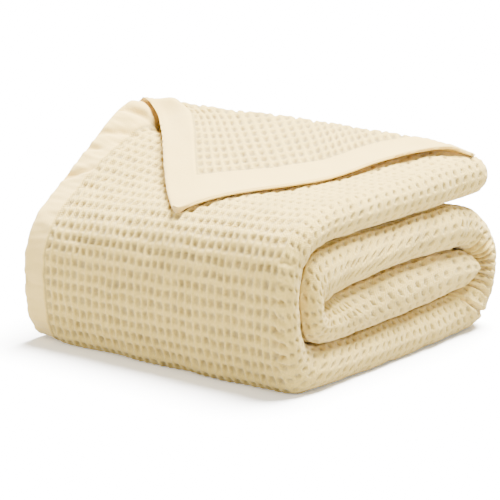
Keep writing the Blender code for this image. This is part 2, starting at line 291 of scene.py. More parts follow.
def soften(values: np.ndarray, width: float) -> np.ndarray:
    """Averages values over a soft window, their ends carried on straight.

    Args:
        values: the values, along the first axis.
        width: width of the window, in values.

    Returns:
        The averaged values.
    """
    reach = int(math.ceil(3.0 * width))
    steps = np.arange(-reach, reach + 1)
    window = np.exp(-0.5 * (steps / width) ** 2)
    window /= window.sum()
    before = 2.0 * values[:1] - values[reach:0:-1]
    after = 2.0 * values[-1:] - values[-2:-reach - 2:-1]
    padded = np.concatenate([before, values, after])
    count = len(values)
    return sum(share * padded[i:i + count] for i, share in enumerate(window))


def surface_normals(points: np.ndarray) -> np.ndarray:
    """Unit normals of a grid of points.

    Args:
        points: rows along the cloth by columns across it by 3.

    Returns:
        One unit normal a point.
    """
    along = np.gradient(points, axis=0)
    across = np.gradient(points, axis=1)
    normals = np.cross(across, along)
    return normals / np.maximum(np.linalg.norm(normals, axis=2, keepdims=True), 1e-9)


# ---------------------------------------------------------------- the cloth


@dataclass(frozen=True)
class Waffle:
    """The waffle weave and its hems: recessed cells between long ridges and softer cross ridges."""

    across: float = 8.2         # cell width
    along: float = 11.3         # cell length
    depth: float = 3.0          # how deep a cell's hollow is
    hem: float = 25.0           # width of a hem
    across_phases: tuple = (0.0, 0.09, 0.19, 0.32, 0.68, 0.81, 0.91)
    along_phases: tuple = (0.0, 0.10, 0.21, 0.35, 0.50, 0.65, 0.79, 0.90)

    def relief(self, across: np.ndarray, along: np.ndarray, pressed: np.ndarray = 0.0) -> tuple:
        """Height of the weave over the cloth's outer level.

        The hollows close to short slanted dashes where the cloth is strained around the strip's
        fold, or pressed flat.

        Args:
            across: distance from the side hem's edge.
            along: distance along the cloth; under the hem's width it is the end hem.
            pressed: share by which the hollows have closed.

        Returns:
            The heights, the share of painted shade (in the hollows, the dashes and the hem's
            groove) and the share of hem, at each place.
        """
        column = (across - self.hem) / self.across
        row = (along - self.hem) / self.along
        column = column + 0.035 * ripple(across, along, 6.5, 51)
        row = row + 0.035 * ripple(across, along, 7.5, 52)
        to_long = np.abs(column - np.round(column)) * self.across
        to_cross = np.abs(row - np.round(row)) * self.along
        side = smooth((to_long - 0.5) / 2.2)
        end = smooth((to_cross - 1.3) / 2.4)
        uneven = 0.97 + 0.14 * ripple(across, along, 23.0, 5) + 0.10 * ripple(across, along, 9.0, 6)
        uneven = np.minimum(uneven, 1.1)
        pit = side * end
        height = -self.depth * pit * uneven - 0.6 * smooth(to_long / 2.6) * (1.0 - end)
        in_cell = (column - np.floor(column) - 0.5) * self.across
        on_row = (row - np.floor(row) - 0.5) * self.along
        lean = on_row + 0.45 * in_cell + 0.5 * ripple(across, along, 14.0, 8)
        dash = np.exp(-(lean / 1.5) ** 2) * (1.0 - smooth((np.abs(in_cell) - 1.5) / 1.6))
        swelling = 0.35 * (1.0 - smooth(to_cross / 3.4))
        strained = smooth((across - 279.0) / 13.0) * (1.0 - smooth((across - 349.0) / 10.0))
        strained = np.maximum(strained, pressed)
        height += strained * (-2.6 * uneven * dash - swelling - height)
        # from here on pit only colours the cloth: painted shade in the hollows, and in the dashes
        # where strained
        pit += strained * (1.1 * dash - pit)
        edge = np.minimum(across, along)
        hem = 1.0 - smooth((edge - self.hem + 0.9) / 0.9)
        groove = np.exp(-((edge - self.hem - 0.6) / 0.75) ** 2)
        welt = np.exp(-((edge - self.hem + 1.6) / 0.9) ** 2)
        height = height * (1.0 - hem) - 1.0 * groove + 0.35 * welt
        # painted shade made uneven at random over the cloth
        pit = pit * (0.82 + 0.22 * ripple(across, along, 17.0, 53))
        # painted shade kept off the hem but laid along its stitched groove
        pit = np.maximum(pit * (1.0 - hem), 0.7 * groove)
        return height, np.minimum(pit, 1.0), hem

    def lines(self, start: float, end: float, pitch: float, phases: tuple) -> np.ndarray:
        """Places of mesh lines that follow the cells and the hem.

        Args:
            start: the first line's place.
            end: the last line's place.
            pitch: size of a cell that way.
            phases: places of the lines in a cell, as shares of it.

        Returns:
            The places, in order.
        """
        first = math.floor((start - self.hem) / pitch)
        last = math.ceil((end - self.hem) / pitch)
        cells = (np.arange(first, last + 1)[:, None] + np.array(phases)[None, :]).ravel()
        lines = self.hem + pitch * cells
        lines = lines[lines > self.hem]
        hem = np.array([0.0, 0.25, 0.8, 1.7, 4.0, 7.0, 10.5, 14.0, 17.5, 20.5, 22.2, 23.0, 23.8,
                        24.5, 25.0])
        lines = np.concatenate([hem, lines])
        inside = lines[(lines > start + 0.2) & (lines < end - 0.2)]
        return np.concatenate([[start], inside, [end]])


@dataclass(frozen=True)
class Pleat:
    """A short fold pressed into the cloth, as a soft groove across the strip's fold."""

    place: float        # outside knot that its middle lies at
    across: float       # middle, across the cloth
    half_length: float
    lean: float         # how far it leans along the cloth, per unit across
    depth: float
    width: float


PLEATS = (
    Pleat(2.05, 322.0, 17.0, 0.10, 4.7, 2.0),
    Pleat(2.60, 326.0, 20.0, -0.08, 6.8, 2.2),
    Pleat(3.05, 321.0, 20.0, 0.06, 5.5, 2.0),
    Pleat(3.50, 327.0, 21.0, 0.12, 7.0, 2.3),
    Pleat(3.98, 322.0, 22.0, -0.05, 6.2, 2.1),
    Pleat(4.45, 326.0, 20.0, 0.08, 6.8, 2.2),
    Pleat(4.95, 321.0, 21.0, -0.12, 5.5, 2.1),
    Pleat(5.50, 325.0, 20.0, 0.10, 6.0, 2.2),
    Pleat(6.10, 320.0, 22.0, 0.20, 5.5, 2.1),
    Pleat(7.30, 314.0, 30.0, 0.60, 5.7, 2.4),
    Pleat(11.50, 289.0, 10.0, -0.45, 2.9, 1.6),
    Pleat(11.90, 287.0, 9.0, -0.50, 3.3, 1.6),
    Pleat(12.30, 289.0, 10.0, -0.50, 2.9, 1.5),
    Pleat(12.70, 287.0, 9.0, -0.45, 3.3, 1.6),
    Pleat(13.10, 289.0, 9.0, -0.40, 2.6, 1.5),
    Pleat(13.60, 291.0, 9.0, -0.30, 2.4, 1.5),
    Pleat(14.20, 290.0, 10.0, -0.20, 2.2, 1.6),
    Pleat(14.90, 293.0, 11.0, 0.15, 2.2, 1.7),
    Pleat(17.35, 9.0, 20.0, 0.60, 3.4, 3.6),
    Pleat(18.15, 4.0, 14.0, 0.40, 1.8, 3.0),
    Pleat(18.55, 12.0, 20.0, 0.50, 2.9, 4.2),
    Pleat(19.00, 9.0, 20.0, 0.35, 3.1, 4.6),
)


@dataclass
class Strip:
    """The folded strip as it lies in the roll, as dense stations from its nose to its top end."""

    half_width: float = 150.0
    fold_depth: float = 17.0        # how far the round fold at +X bulges out of the band
    seam_gap: float = 1.3           # clearance between two turns
    front_set_back: float = 4.0
    end_round: float = 12.0
    end_angle: float = math.radians(66.0)
    end_steps: int = 16
    end_pull: float = 8.0
    arc: float = 57.4               # cloth around the fold
    sides: np.ndarray = field(init=False)
    length: np.ndarray = field(init=False)
    place: np.ndarray = field(init=False)
    marks: dict = field(init=False)

    def __post_init__(self) -> None:
        """Works out the stations: inner and outer points at both ends, and the fold's reach."""
        rows, places, self.marks, count = [], [], {}, 0
        for number, stretch in enumerate(STRETCHES):
            first = 0 if number == 0 else 1
            share = np.arange(first, stretch.steps + 1) / stretch.steps
            before = STRETCHES[max(number - 1, 0)].reach
            reach = before + share * (stretch.reach - before)
            if stretch.name == "front turn":
                reach = reach - self.front_set_back * np.sin(math.pi * share)
            outer_place = stretch.outer_from + share * (stretch.outer_to - stretch.outer_from)
            columns = []
            for end in (0, 2):
                seam = np.array(SEAM)[:, end:end + 2]
                outside = np.array(OUTSIDE)[:, end:end + 2]
                columns.append(self.inner_side(stretch, seam, share))
                if stretch.outer_line is SEAM:
                    normals = side_normals(seam, outer_place)
                    columns.append(curve_at(seam, outer_place) - 0.5 * self.seam_gap * normals)
                else:
                    columns.append(curve_at(outside, outer_place))
            rows.append(np.column_stack(columns + [reach]))
            places.append(outer_place if stretch.outer_line is OUTSIDE else outer_place - 100.0)
            self.marks[stretch.name] = count
            count += len(share)
        stations = np.vstack(rows)
        self.marks["rounding"] = count - 1
        self.sides = np.vstack([stations, self.rounding(stations[-1])])
        self.place = np.concatenate(places)
        steps = np.diff(self.sides, axis=0)
        far = 0.5 * (np.hypot(steps[:, 2], steps[:, 3]) + np.hypot(steps[:, 6], steps[:, 7]))
        self.length = np.concatenate([[0.0], np.cumsum(far)])

    def inner_side(self, stretch: Stretch, seam: np.ndarray, share: np.ndarray) -> np.ndarray:
        """Inner side of a stretch: it runs along the seam and turns around the seam's crease.

        Args:
            stretch: the stretch of the strip.
            seam: the seam's knots at one end of the roll.
            share: shares of the stretch at which it is read.

        Returns:
            One point a share.
        """
        if stretch.name == "crease turn":
            normal = side_normals(seam, np.array([0.0]))[0]
            along = np.array([normal[1], -normal[0]])
            angle = math.pi * share[:, None]
            return seam[0] - 0.5 * self.seam_gap * (np.cos(angle) * normal + np.sin(angle) * along)
        place = stretch.inner_from + share * (stretch.inner_to - stretch.inner_from)
        side = -1.0 if stretch.name.startswith("core") else 1.0
        return curve_at(seam, place) + side * 0.5 * self.seam_gap * side_normals(seam, place)

    def rounding(self, last: np.ndarray) -> np.ndarray:
        """Stations of the top band's rounded end.

        Args:
            last: the band's last station, which moves on and closes in.

        Returns:
            The stations, one a row.
        """
        rows = []
        for step in range(1, self.end_steps + 1):
            angle = self.end_angle * step / self.end_steps
            row = []
            for inner, outer in ((last[0:2], last[2:4]), (last[4:6], last[6:8])):
                middle = 0.5 * (inner + outer)
                shift = np.array([self.end_round * math.sin(angle), 0.0])
                row += list(middle + math.cos(angle) * (inner - middle) + shift)
                row += list(middle + math.cos(angle) * (outer - middle) + shift)
            rows.append(row + [last[8] - self.end_pull * (1.0 - math.cos(angle))])
        return np.array(rows)

    def start_of(self, name: str) -> float:
        """Length at which a stretch starts."""
        return float(self.length[max(self.marks[name] - 1, 0)])

    def length_at(self, place: float) -> float:
        """Length along the strip at a place of the outside line.

        Args:
            place: the place, counted in knots.

        Returns:
            The length.
        """
        first = self.marks["back turn"]
        last = self.marks["rounding"] + 1
        return float(np.interp(place, self.place[first:last], self.length[first:last]))

    def points(self, lengths: np.ndarray, x: np.ndarray, share: np.ndarray) -> np.ndarray:
        """Points of the strip.

        Args:
            lengths: distances along the strip, one a row.
            x: places across it, one a column.
            share: share of the strip's thickness from its inner side, one a column.

        Returns:
            A grid of points, rows by columns.
        """
        row = np.column_stack([np.interp(lengths, self.length, side) for side in self.sides.T])
        right = (x + self.half_width) / (2.0 * self.half_width)
        wide = right[None, :, None]
        inner = wide * row[:, None, 0:2] + (1.0 - wide) * row[:, None, 4:6]
        outer = wide * row[:, None, 2:4] + (1.0 - wide) * row[:, None, 6:8]
        flat = inner + share[None, :, None] * (outer - inner)
        across = x[None, :] + right[None, :] * (row[:, 8:9] - self.half_width)
        height = np.maximum(flat[:, :, 1], 0.0)
        return np.stack([across, flat[:, :, 0], height], axis=2)

    def outline(self, across: np.ndarray) -> tuple:
        """Where the outer leaf lies in the strip's section.

        Args:
            across: distances across the cloth.

        Returns:
            Places along X and shares of the strip's thickness.
        """
        flat = 2.0 * self.half_width - self.fold_depth
        fold_x = self.half_width - self.fold_depth
        turn = np.clip((across - flat) / self.arc, 0.0, 1.0) * math.pi
        back = np.maximum(across - flat - self.arc, 0.0)
        x = np.minimum(across - self.half_width, fold_x) + self.fold_depth * np.sin(turn) - back
        return x, 0.5 + 0.5 * np.cos(turn)

    def leaf(self, lengths: np.ndarray, across: np.ndarray) -> np.ndarray:
        """Grid of points on the outer leaf's outer level."""
        x, share = self.outline(across)
        return self.points(lengths, x, share)


@dataclass
class Handling:
    """What lying folded has done to the cloth: soft waves, sway of its lines, pleats, puckers, and
    the painted shade in the pleats' bottoms.
    """

    strip: Strip
    wave: float = 0.55
    sway: float = 0.7
    foot: float = 4.5           # how far the cloth bulges where the front comes down to the floor
    foot_place: float = 9.6

    def lift(self, across: np.ndarray, along: np.ndarray) -> np.ndarray:
        """Soft rise and fall of the outer leaf.

        Args:
            across: distance from the side hem's edge.
            along: distance along the strip.

        Returns:
            Heights over the leaf's level.
        """
        height = self.wave * ripple(across, along, 52.0, 11)
        height = height + 0.6 * self.wave * ripple(across, along, 24.0, 12) - 0.5 * self.wave
        for pleat in PLEATS:
            middle = self.strip.length_at(pleat.place)
            off = along - middle - pleat.lean * (across - pleat.across)
            fade = smooth(1.6 - 1.6 * np.abs(across - pleat.across) / pleat.half_length)
            height = height - pleat.depth * fade * np.exp(-(off / pleat.width) ** 2)
            shoulder = np.exp(-((np.abs(off) - 2.6 * pleat.width) / (1.3 * pleat.width)) ** 2)
            height = height + 0.22 * pleat.depth * fade * shoulder
        near_hem = 1.0 - smooth((across - 22.0) / 10.0)
        pucker = 0.6 * ripple(0.25 * across, along, 15.0, 14)
        pucker = pucker + 0.3 * ripple(0.2 * across, along, 7.0, 15)
        foot = np.exp(-((along - self.strip.length_at(self.foot_place)) / 15.0) ** 2)
        foot = foot * smooth(across / 40.0) * (1.0 - smooth((across - 270.0) / 30.0))
        return height + near_hem * pucker + self.foot * foot

    def crease_shade(self, across: np.ndarray, along: np.ndarray) -> np.ndarray:
        """Share by which a place lies in a pleat's bottom, where shade is painted.

        Args:
            across: distance from the side hem's edge.
            along: distance along the strip.

        Returns:
            The shares.
        """
        share = np.zeros(np.broadcast(across, along).shape)
        for pleat in PLEATS:
            middle = self.strip.length_at(pleat.place)
            off = along - middle - pleat.lean * (across - pleat.across)
            fade = smooth(1.4 - 1.5 * np.abs(across - pleat.across) / pleat.half_length)
            depth = min(1.0, pleat.depth / 5.0)
            share = np.maximum(share, depth * fade * np.exp(-(off / (0.5 * pleat.width)) ** 2))
        return share

    def pressed(self, across: np.ndarray, along: np.ndarray) -> np.ndarray:
        """Share by which the weave's hollows have closed: on the top, the rise and by the floor.

        Args:
            across: distance from the side hem's edge.
            along: distance along the strip.

        Returns:
            The shares.
        """
        top = 0.8 * smooth((along - self.strip.length_at(16.6)) / 26.0)
        top = top * smooth((across - 70.0) / 110.0)
        rise = 0.15 * smooth((along - self.strip.length_at(14.2)) / 30.0)
        foot = 0.45 * (1.0 - smooth((along - self.strip.length_at(9.7)) / 24.0))
        foot = foot * smooth((along - self.strip.length_at(8.4)) / 10.0)
        share = np.maximum(np.maximum(top, rise), foot)
        patches = 0.16 * ripple(across, along, 40.0, 41) + 0.10 * ripple(across, along, 16.0, 42)
        return np.clip(share + patches + 0.1, 0.0, 0.9)

    def slide(self, across: np.ndarray, along: np.ndarray) -> tuple:
        """How far the weave's lines sway.

        Args:
            across: distance from the side hem's edge.
            along: distance along the strip.

        Returns:
            The sway across the cloth and along it.
        """
        fade = smooth((across - 18.0) / 20.0)
        return (fade * self.sway * ripple(across, along, 30.0, 21),
                fade * self.sway * ripple(across, along, 34.0, 22))


# ---------------------------------------------------------------- meshes and finishes


@dataclass(frozen=True)
class Cotton:
    """Undyed cream cotton: woven ground, painted warm shade in the hollows and creases, slightly
    pinker smooth hems.
    """

    name: str = "cream_cotton"
    ground: tuple = (0.78, 0.56, 0.14)
    # painted shade: the darker, warmer colour laid into the cells' hollows, the pleats' bottoms and
    # the hem's groove
    painted_shade: tuple = (0.42, 0.31, 0.115)
    hem: tuple = (0.78, 0.55, 0.155)
    roughness: float = 0.93
    sheen: float = 0.25
    thread: float = 2.3             # spacing of the threads, in millimetres
    thread_depth: float = 0.0005    # in metres
    fuzz_scale: float = 480.0       # yarn hairs, per metre
    slub_scale: float = 38.0        # thick and thin places of the yarn, per metre
    stitch_line: float = 22.4       # the hem's stitches, from its edge
    stitch_width: float = 0.84
    stitch_pitch: float = 3.1
    stitch_share: float = 0.72      # share of the pitch that a stitch takes
    stitch_height: float = 1.2
    hem_bump: float = 0.3           # share of the threads' bump that the plain hem keeps
    darkest: tuple = (0.76, 0.94)   # darkest tone of the weave and of the hem
    tones: tuple = (0.42, 0.86)     # unevenness that gives the darkest and the full tone

    def weave_group(self) -> bpy.types.NodeTree:
        """Node group: fine threads, their unevenness and the hem's stitches.

        Returns:
            The group, with outputs Height, Tone and Stitch.
        """
        tree = bpy.data.node_groups.new("cotton_threads", "ShaderNodeTree")
        for socket, kind in (("Cloth", "NodeSocketVector"), ("Place", "NodeSocketVector"),
                             ("Spacing", "NodeSocketFloat")):
            tree.interface.new_socket(socket, in_out="INPUT", socket_type=kind)
        for socket in ("Height", "Tone", "Stitch"):
            tree.interface.new_socket(socket, in_out="OUTPUT", socket_type="NodeSocketFloat")
        nodes, links = tree.nodes, tree.links
        given = nodes.new("NodeGroupInput")
        result = nodes.new("NodeGroupOutput")

        def maths(kind: str, first: object, second: object = None) -> bpy.types.NodeSocket:
            """A Math node on sockets or numbers.

            Args:
                kind: the operation.
                first: its first socket or number.
                second: its second one, where it has one.

            Returns:
                The result's socket.
            """
            node = nodes.new("ShaderNodeMath")
            node.operation = kind
            for socket, value in zip(node.inputs, (first, second)):
                if isinstance(value, (int, float)):
                    socket.default_value = value
                elif value is not None:
                    links.new(value, socket)
            return node.outputs[0]

        split = nodes.new("ShaderNodeSeparateXYZ")
        links.new(given.outputs["Cloth"], split.inputs[0])
        turns = maths("DIVIDE", math.tau, given.outputs["Spacing"])
        warp = maths("SINE", maths("MULTIPLY", split.outputs[0], turns))
        weft = maths("SINE", maths("MULTIPLY", split.outputs[1], turns))
        over = maths("MULTIPLY", warp, weft)
        fuzz = nodes.new("ShaderNodeTexNoise")
        fuzz.inputs["Scale"].default_value = self.fuzz_scale
        fuzz.inputs["Detail"].default_value = 3.0
        links.new(given.outputs["Place"], fuzz.inputs["Vector"])
        hairs = maths("MULTIPLY", fuzz.outputs[0], 1.6)
        height = maths("ADD", maths("MULTIPLY", over, 0.35), hairs)
        links.new(height, result.inputs["Height"])
        slub = nodes.new("ShaderNodeTexNoise")
        slub.inputs["Scale"].default_value = self.slub_scale
        slub.inputs["Detail"].default_value = 4.0
        links.new(given.outputs["Place"], slub.inputs["Vector"])
        yarn = maths("ADD", maths("MULTIPLY", fuzz.outputs[0], 0.8), maths("MULTIPLY", over, 0.05))
        tone = maths("ADD", maths("MULTIPLY", slub.outputs[0], 0.5), yarn)
        links.new(tone, result.inputs["Tone"])
        edge = maths("MINIMUM", split.outputs[0], split.outputs[1])
        near = maths("SUBTRACT", edge, self.stitch_line)
        on_line = maths("LESS_THAN", maths("ABSOLUTE", near), 0.5 * self.stitch_width)
        far = maths("MAXIMUM", split.outputs[0], split.outputs[1])
        share = maths("FRACT", maths("DIVIDE", far, self.stitch_pitch))
        dash = maths("LESS_THAN", share, self.stitch_share)
        links.new(maths("MULTIPLY", on_line, dash), result.inputs["Stitch"])
        return tree

    def material(self) -> bpy.types.Material:
        """The finished material.

        Returns:
            The material, for cloth with a map named cloth, a mark of painted shade for hollows and
            creases, and the mark hem.
        """
        material = bpy.data.materials.new(self.name)
        material.use_nodes = True
        nodes, links = material.node_tree.nodes, material.node_tree.links
        shader = nodes["Principled BSDF"]
        shader.inputs["Roughness"].default_value = self.roughness
        shader.inputs["Metallic"].default_value = 0.0
        shader.inputs["Sheen Weight"].default_value = self.sheen
        shader.inputs["Sheen Roughness"].default_value = 0.5
        shader.inputs["Specular IOR Level"].default_value = 0.25
        cloth = nodes.new("ShaderNodeUVMap")
        cloth.uv_map = "cloth"
        place = nodes.new("ShaderNodeTexCoord")
        weave = nodes.new("ShaderNodeGroup")
        weave.node_tree = self.weave_group()
        weave.inputs["Spacing"].default_value = self.thread
        scaled = nodes.new("ShaderNodeVectorMath")
        scaled.operation = "SCALE"
        scaled.inputs["Scale"].default_value = 1.0 / MM
        links.new(cloth.outputs[0], scaled.inputs[0])
        links.new(scaled.outputs[0], weave.inputs["Cloth"])
        links.new(place.outputs["Object"], weave.inputs["Place"])

        def blend(low: object, high: object, share: bpy.types.NodeSocket) -> bpy.types.NodeSocket:
            """A colour between two.

            Args:
                low: the socket or colour at share 0.
                high: the socket or colour at share 1.
                share: the share's socket.

            Returns:
                The colour's socket.
            """
            node = nodes.new("ShaderNodeMix")
            node.data_type = "RGBA"
            links.new(share, node.inputs[0])
            for socket, value in ((node.inputs[6], low), (node.inputs[7], high)):
                if isinstance(value, tuple):
                    socket.default_value = (*value, 1.0)
                else:
                    links.new(value, socket)
            return node.outputs[2]

        painted_shade = nodes.new("ShaderNodeAttribute")
        painted_shade.attribute_name = "painted_shade"
        hem = nodes.new("ShaderNodeAttribute")
        hem.attribute_name = "hem"
        # painted shade: the ground colour darkens towards the shade colour by the painted shade
        # mark
        colour = blend(self.ground, self.painted_shade, painted_shade.outputs["Fac"])
        colour = blend(colour, self.hem, hem.outputs["Fac"])
        plain = nodes.new("ShaderNodeMapRange")
        plain.inputs["To Min"].default_value = 1.0
        plain.inputs["To Max"].default_value = self.hem_bump
        links.new(hem.outputs["Fac"], plain.inputs["Value"])
        darkest = nodes.new("ShaderNodeMapRange")
        darkest.inputs["To Min"].default_value = self.darkest[0]
        darkest.inputs["To Max"].default_value = self.darkest[1]
        links.new(hem.outputs["Fac"], darkest.inputs["Value"])
        tone = nodes.new("ShaderNodeMapRange")
        tone.inputs["From Min"].default_value = self.tones[0]
        tone.inputs["From Max"].default_value = self.tones[1]
        tone.inputs["To Max"].default_value = 1.0
        links.new(darkest.outputs[0], tone.inputs["To Min"])
        links.new(weave.outputs["Tone"], tone.inputs["Value"])
        shade = nodes.new("ShaderNodeVectorMath")
        shade.operation = "SCALE"
        links.new(colour, shade.inputs[0])
        links.new(tone.outputs[0], shade.inputs["Scale"])
        links.new(shade.outputs[0], shader.inputs["Base Color"])
        bump = nodes.new("ShaderNodeBump")
        bump.inputs["Distance"].default_value = self.thread_depth
        links.new(plain.outputs[0], bump.inputs["Strength"])
        stitch = nodes.new("ShaderNodeMath")
        stitch.operation = "MULTIPLY_ADD"
        links.new(weave.outputs["Stitch"], stitch.inputs[0])
        stitch.inputs[1].default_value = self.stitch_height
        links.new(weave.outputs["Height"], stitch.inputs[2])
        links.new(stitch.outputs[0], bump.inputs["Height"])
        links.new(bump.outputs[0], shader.inputs["Normal"])
        return material


class ClothMesh:
    """Gathers grids of cloth points into one closed mesh."""

    def __init__(self, name: str) -> None:
        """Starts an empty mesh.

        Args:
            name: the piece's name.
        """
        self.name = name
        self.points: list = []
        self.cloth: list = []
        self.painted_shade: list = []
        self.hem: list = []
        self.normals: list = []
        self.faces: list = []
        self.count = 0

    def grid(self, points: np.ndarray, cloth: np.ndarray, painted_shade: np.ndarray, hem: np.ndarray,
             normals: np.ndarray, inward: bool = False) -> np.ndarray:
        """Adds a grid of points and its faces.

        Args:
            points: rows by columns by 3.
            cloth: each point's place on the cloth, rows by columns by 2.
            painted_shade: share of painted shade at each point, in the cells' hollows and creases.
            hem: share of hem at each point.
            normals: fixed normals, or zero where the mesh's own is used.
            inward: whether the faces look to the other side.

        Returns:
            The numbers of the points in the mesh, rows by columns.
        """
        rows, columns = points.shape[:2]
        ids = self.count + np.arange(rows * columns).reshape(rows, columns)
        self.count += rows * columns
        self.points.append(points.reshape(-1, 3))
        self.cloth.append(cloth.reshape(-1, 2))
        self.painted_shade.append(painted_shade.ravel())
        self.hem.append(hem.ravel())
        self.normals.append(normals.reshape(-1, 3))
        corners = [ids[:-1, :-1], ids[:-1, 1:], ids[1:, 1:], ids[1:, :-1]]
        if inward:
            corners = corners[::-1]
        self.faces += np.stack(corners, axis=2).reshape(-1, 4).tolist()
        return ids

    def bridge(self, first: np.ndarray, second: np.ndarray) -> None:
        """Closes the gap between two edges with triangles, matched by the distance along them.

        Args:
            first: the point numbers of one edge.
            second: those of the other edge, in the same order.
        """
        points = np.vstack(self.points)
        shares = []
        for edge in (first, second):
            steps = np.linalg.norm(np.diff(points[edge], axis=0), axis=1)
            shares.append(np.concatenate([[0.0], np.cumsum(steps)]) / max(np.sum(steps), 1e-9))
        a, b = 0, 0
        last_a, last_b = len(first) - 1, len(second) - 1
        while a < last_a or b < last_b:
            if b >= last_b or (a < last_a and shares[0][a + 1] <= shares[1][b + 1]):
                self.faces.append([int(first[a]), int(first[a + 1]), int(second[b])])
                a += 1
            else:
                self.faces.append([int(first[a]), int(second[b + 1]), int(second[b])])
                b += 1

    def wrap(self, top: np.ndarray, bottom: np.ndarray) -> None:
        """Closes the four sides between a grid and the inward one under it.

        Args:
            top: the grid's point numbers, rows by columns.
            bottom: those of the inward grid.
        """
        self.bridge(top[:, 0], bottom[:, 0])
        self.bridge(top[::-1, -1], bottom[::-1, -1])
        self.bridge(top[0, ::-1], bottom[0, ::-1])
        self.bridge(top[-1, :], bottom[-1, :])

    def finish(self, material: bpy.types.Material) -> bpy.types.Object:
        """Makes the object, in metres, with its cloth map and marks.

        Args:
            material: its finish.

        Returns:
            The object, at the origin.
        """
        points = np.vstack(self.points) * MM
        mesh = bpy.data.meshes.new(self.name)
        mesh.from_pydata(points.tolist(), [], self.faces)
        corner = np.zeros(len(mesh.loops), dtype=np.int32)
        mesh.loops.foreach_get("vertex_index", corner)
        layer = mesh.uv_layers.new(name="cloth")
        layer.data.foreach_set("uv", (np.vstack(self.cloth) * MM)[corner].ravel())
        # point marks: the painted shade share and the hem share
        for name, values in (("painted_shade", self.painted_shade), ("hem", self.hem)):
            mark = mesh.attributes.new(name, "FLOAT", "POINT")
            mark.data.foreach_set("value", np.concatenate(values))
        mesh.shade_smooth()
        mesh.normals_split_custom_set_from_vertices(np.vstack(self.normals).tolist())
        mesh.materials.append(material)
        piece = bpy.data.objects.new(self.name, mesh)
        bpy.context.collection.objects.link(piece)
        return piece


class Piece(NamedTuple):
    """A made piece and what it was cut from."""

    shown: bpy.types.Object
    width: float
    length: float


@dataclass
class LeafSheet:
    """A sheet of the strip's outer cloth between two places along and two across."""

    name: str
    strip: Strip
    waffle: Waffle
    handling: Handling
    along: tuple
    across: tuple
    depth: float = 0.0          # how far under the outer level it lies
    thickness: float = CLOTH

    def lines(self, bounds: tuple, pitch: float, phases: tuple) -> np.ndarray:
        """Mesh lines between two bounds, with two more past each end for the normals.

        Args:
            bounds: the first and the last line's place.
            pitch: size of a cell that way.
            phases: places of the lines in a cell, as shares of it.

        Returns:
            The lines' places, in order.
        """
        kept = self.waffle.lines(bounds[0], bounds[1], pitch, phases)
        before = [bounds[0] - MARGIN[1], bounds[0] - MARGIN[0]]
        after = [bounds[1] + MARGIN[0], bounds[1] + MARGIN[1]]
        return np.concatenate([before, kept, after])

    def surface(self, along: np.ndarray, across: np.ndarray) -> tuple:
        """Dressed outer side of the sheet.

        Args:
            along: the rows' distances along the strip.
            across: the columns' distances across the cloth.

        Returns:
            Points, painted shade shares (hollows and pleat bottoms) and hem shares.
        """
        base = self.strip.leaf(along, across)
        normals = surface_normals(base)
        wide, far = np.meshgrid(across, along)
        pressed = self.handling.pressed(wide, far)
        height, painted_shade, hem = self.waffle.relief(wide, far + FREE, pressed)
        # painted shade in the pleats' bottoms, kept off the hems
        painted_shade = np.maximum(painted_shade, (1.0 - hem) * self.handling.crease_shade(wide, far))
        lift = self.handling.lift(wide, far)
        rim = np.clip(1.0 - wide / 1.8, 0.0, 1.0)
        edge = -0.5 * self.thickness * (1.0 - np.sqrt(1.0 - rim ** 2))
        side, end = self.handling.slide(wide, far)
        step = np.gradient(base, axis=1)
        step /= np.maximum(np.linalg.norm(step, axis=2, keepdims=True), 1e-9)
        run = np.gradient(base, axis=0)
        run /= np.maximum(np.linalg.norm(run, axis=2, keepdims=True), 1e-9)
        points = base + normals * (height + lift + edge - self.depth)[:, :, None]
        points = points + step * side[:, :, None] + run * end[:, :, None]
        points[:, :, 2] = np.maximum(points[:, :, 2], 0.0)
        return points, painted_shade, hem

    def build(self, material: bpy.types.Material) -> Piece:
        """Makes the closed sheet: the dressed outer side, a plain inner side and their rims.

        Args:
            material: its finish.

        Returns:
            The piece.
        """
        rows = self.lines(self.along, self.waffle.along, self.waffle.along_phases)
        columns = self.lines(self.across, self.waffle.across, self.waffle.across_phases)
        if self.across[0] <= 0.0:
            columns[:2] = (-0.02, -0.01)
        points, painted_shade, hem = self.surface(rows, columns)
        normals = surface_normals(points)
        keep = (slice(2, -2), slice(2, -2))
        fixed = np.zeros_like(points)
        fixed[2], fixed[-3] = normals[2], normals[-3]
        fixed[:, -3] = normals[:, -3]
        if self.across[0] > 0.0:
            fixed[:, 2] = normals[:, 2]
        wide, far = np.meshgrid(columns, rows)
        cloth = np.stack([wide, far + FREE], axis=2)
        mesh = ClothMesh(self.name)
        top = mesh.grid(points[keep], cloth[keep], painted_shade[keep], hem[keep], fixed[keep])
        inner_rows = np.linspace(*self.along, max(3, int((self.along[1] - self.along[0]) / 5.0)))
        count = max(3, int((self.across[1] - self.across[0]) / 8.0))
        inner_columns = np.linspace(*self.across, count)
        base = self.strip.leaf(inner_rows, inner_columns)
        wide, far = np.meshgrid(inner_columns, inner_rows)
        sunk = self.depth + self.thickness + WALL_GAP * smooth((wide - self.waffle.hem) / 9.0)
        if self.across[0] <= 0.0:
            sunk[:, 0] = self.depth + 0.75 * self.thickness
        under = base - surface_normals(base) * sunk[:, :, None]
        plain = np.zeros(under.shape[:2])
        bottom = mesh.grid(under, np.stack([wide, far + FREE], axis=2), plain, plain,
                           np.zeros_like(under), inward=True)
        mesh.wrap(top, bottom)
        shown = mesh.finish(material)
        return Piece(shown, self.across[1] - self.across[0], self.along[1] - self.along[0])


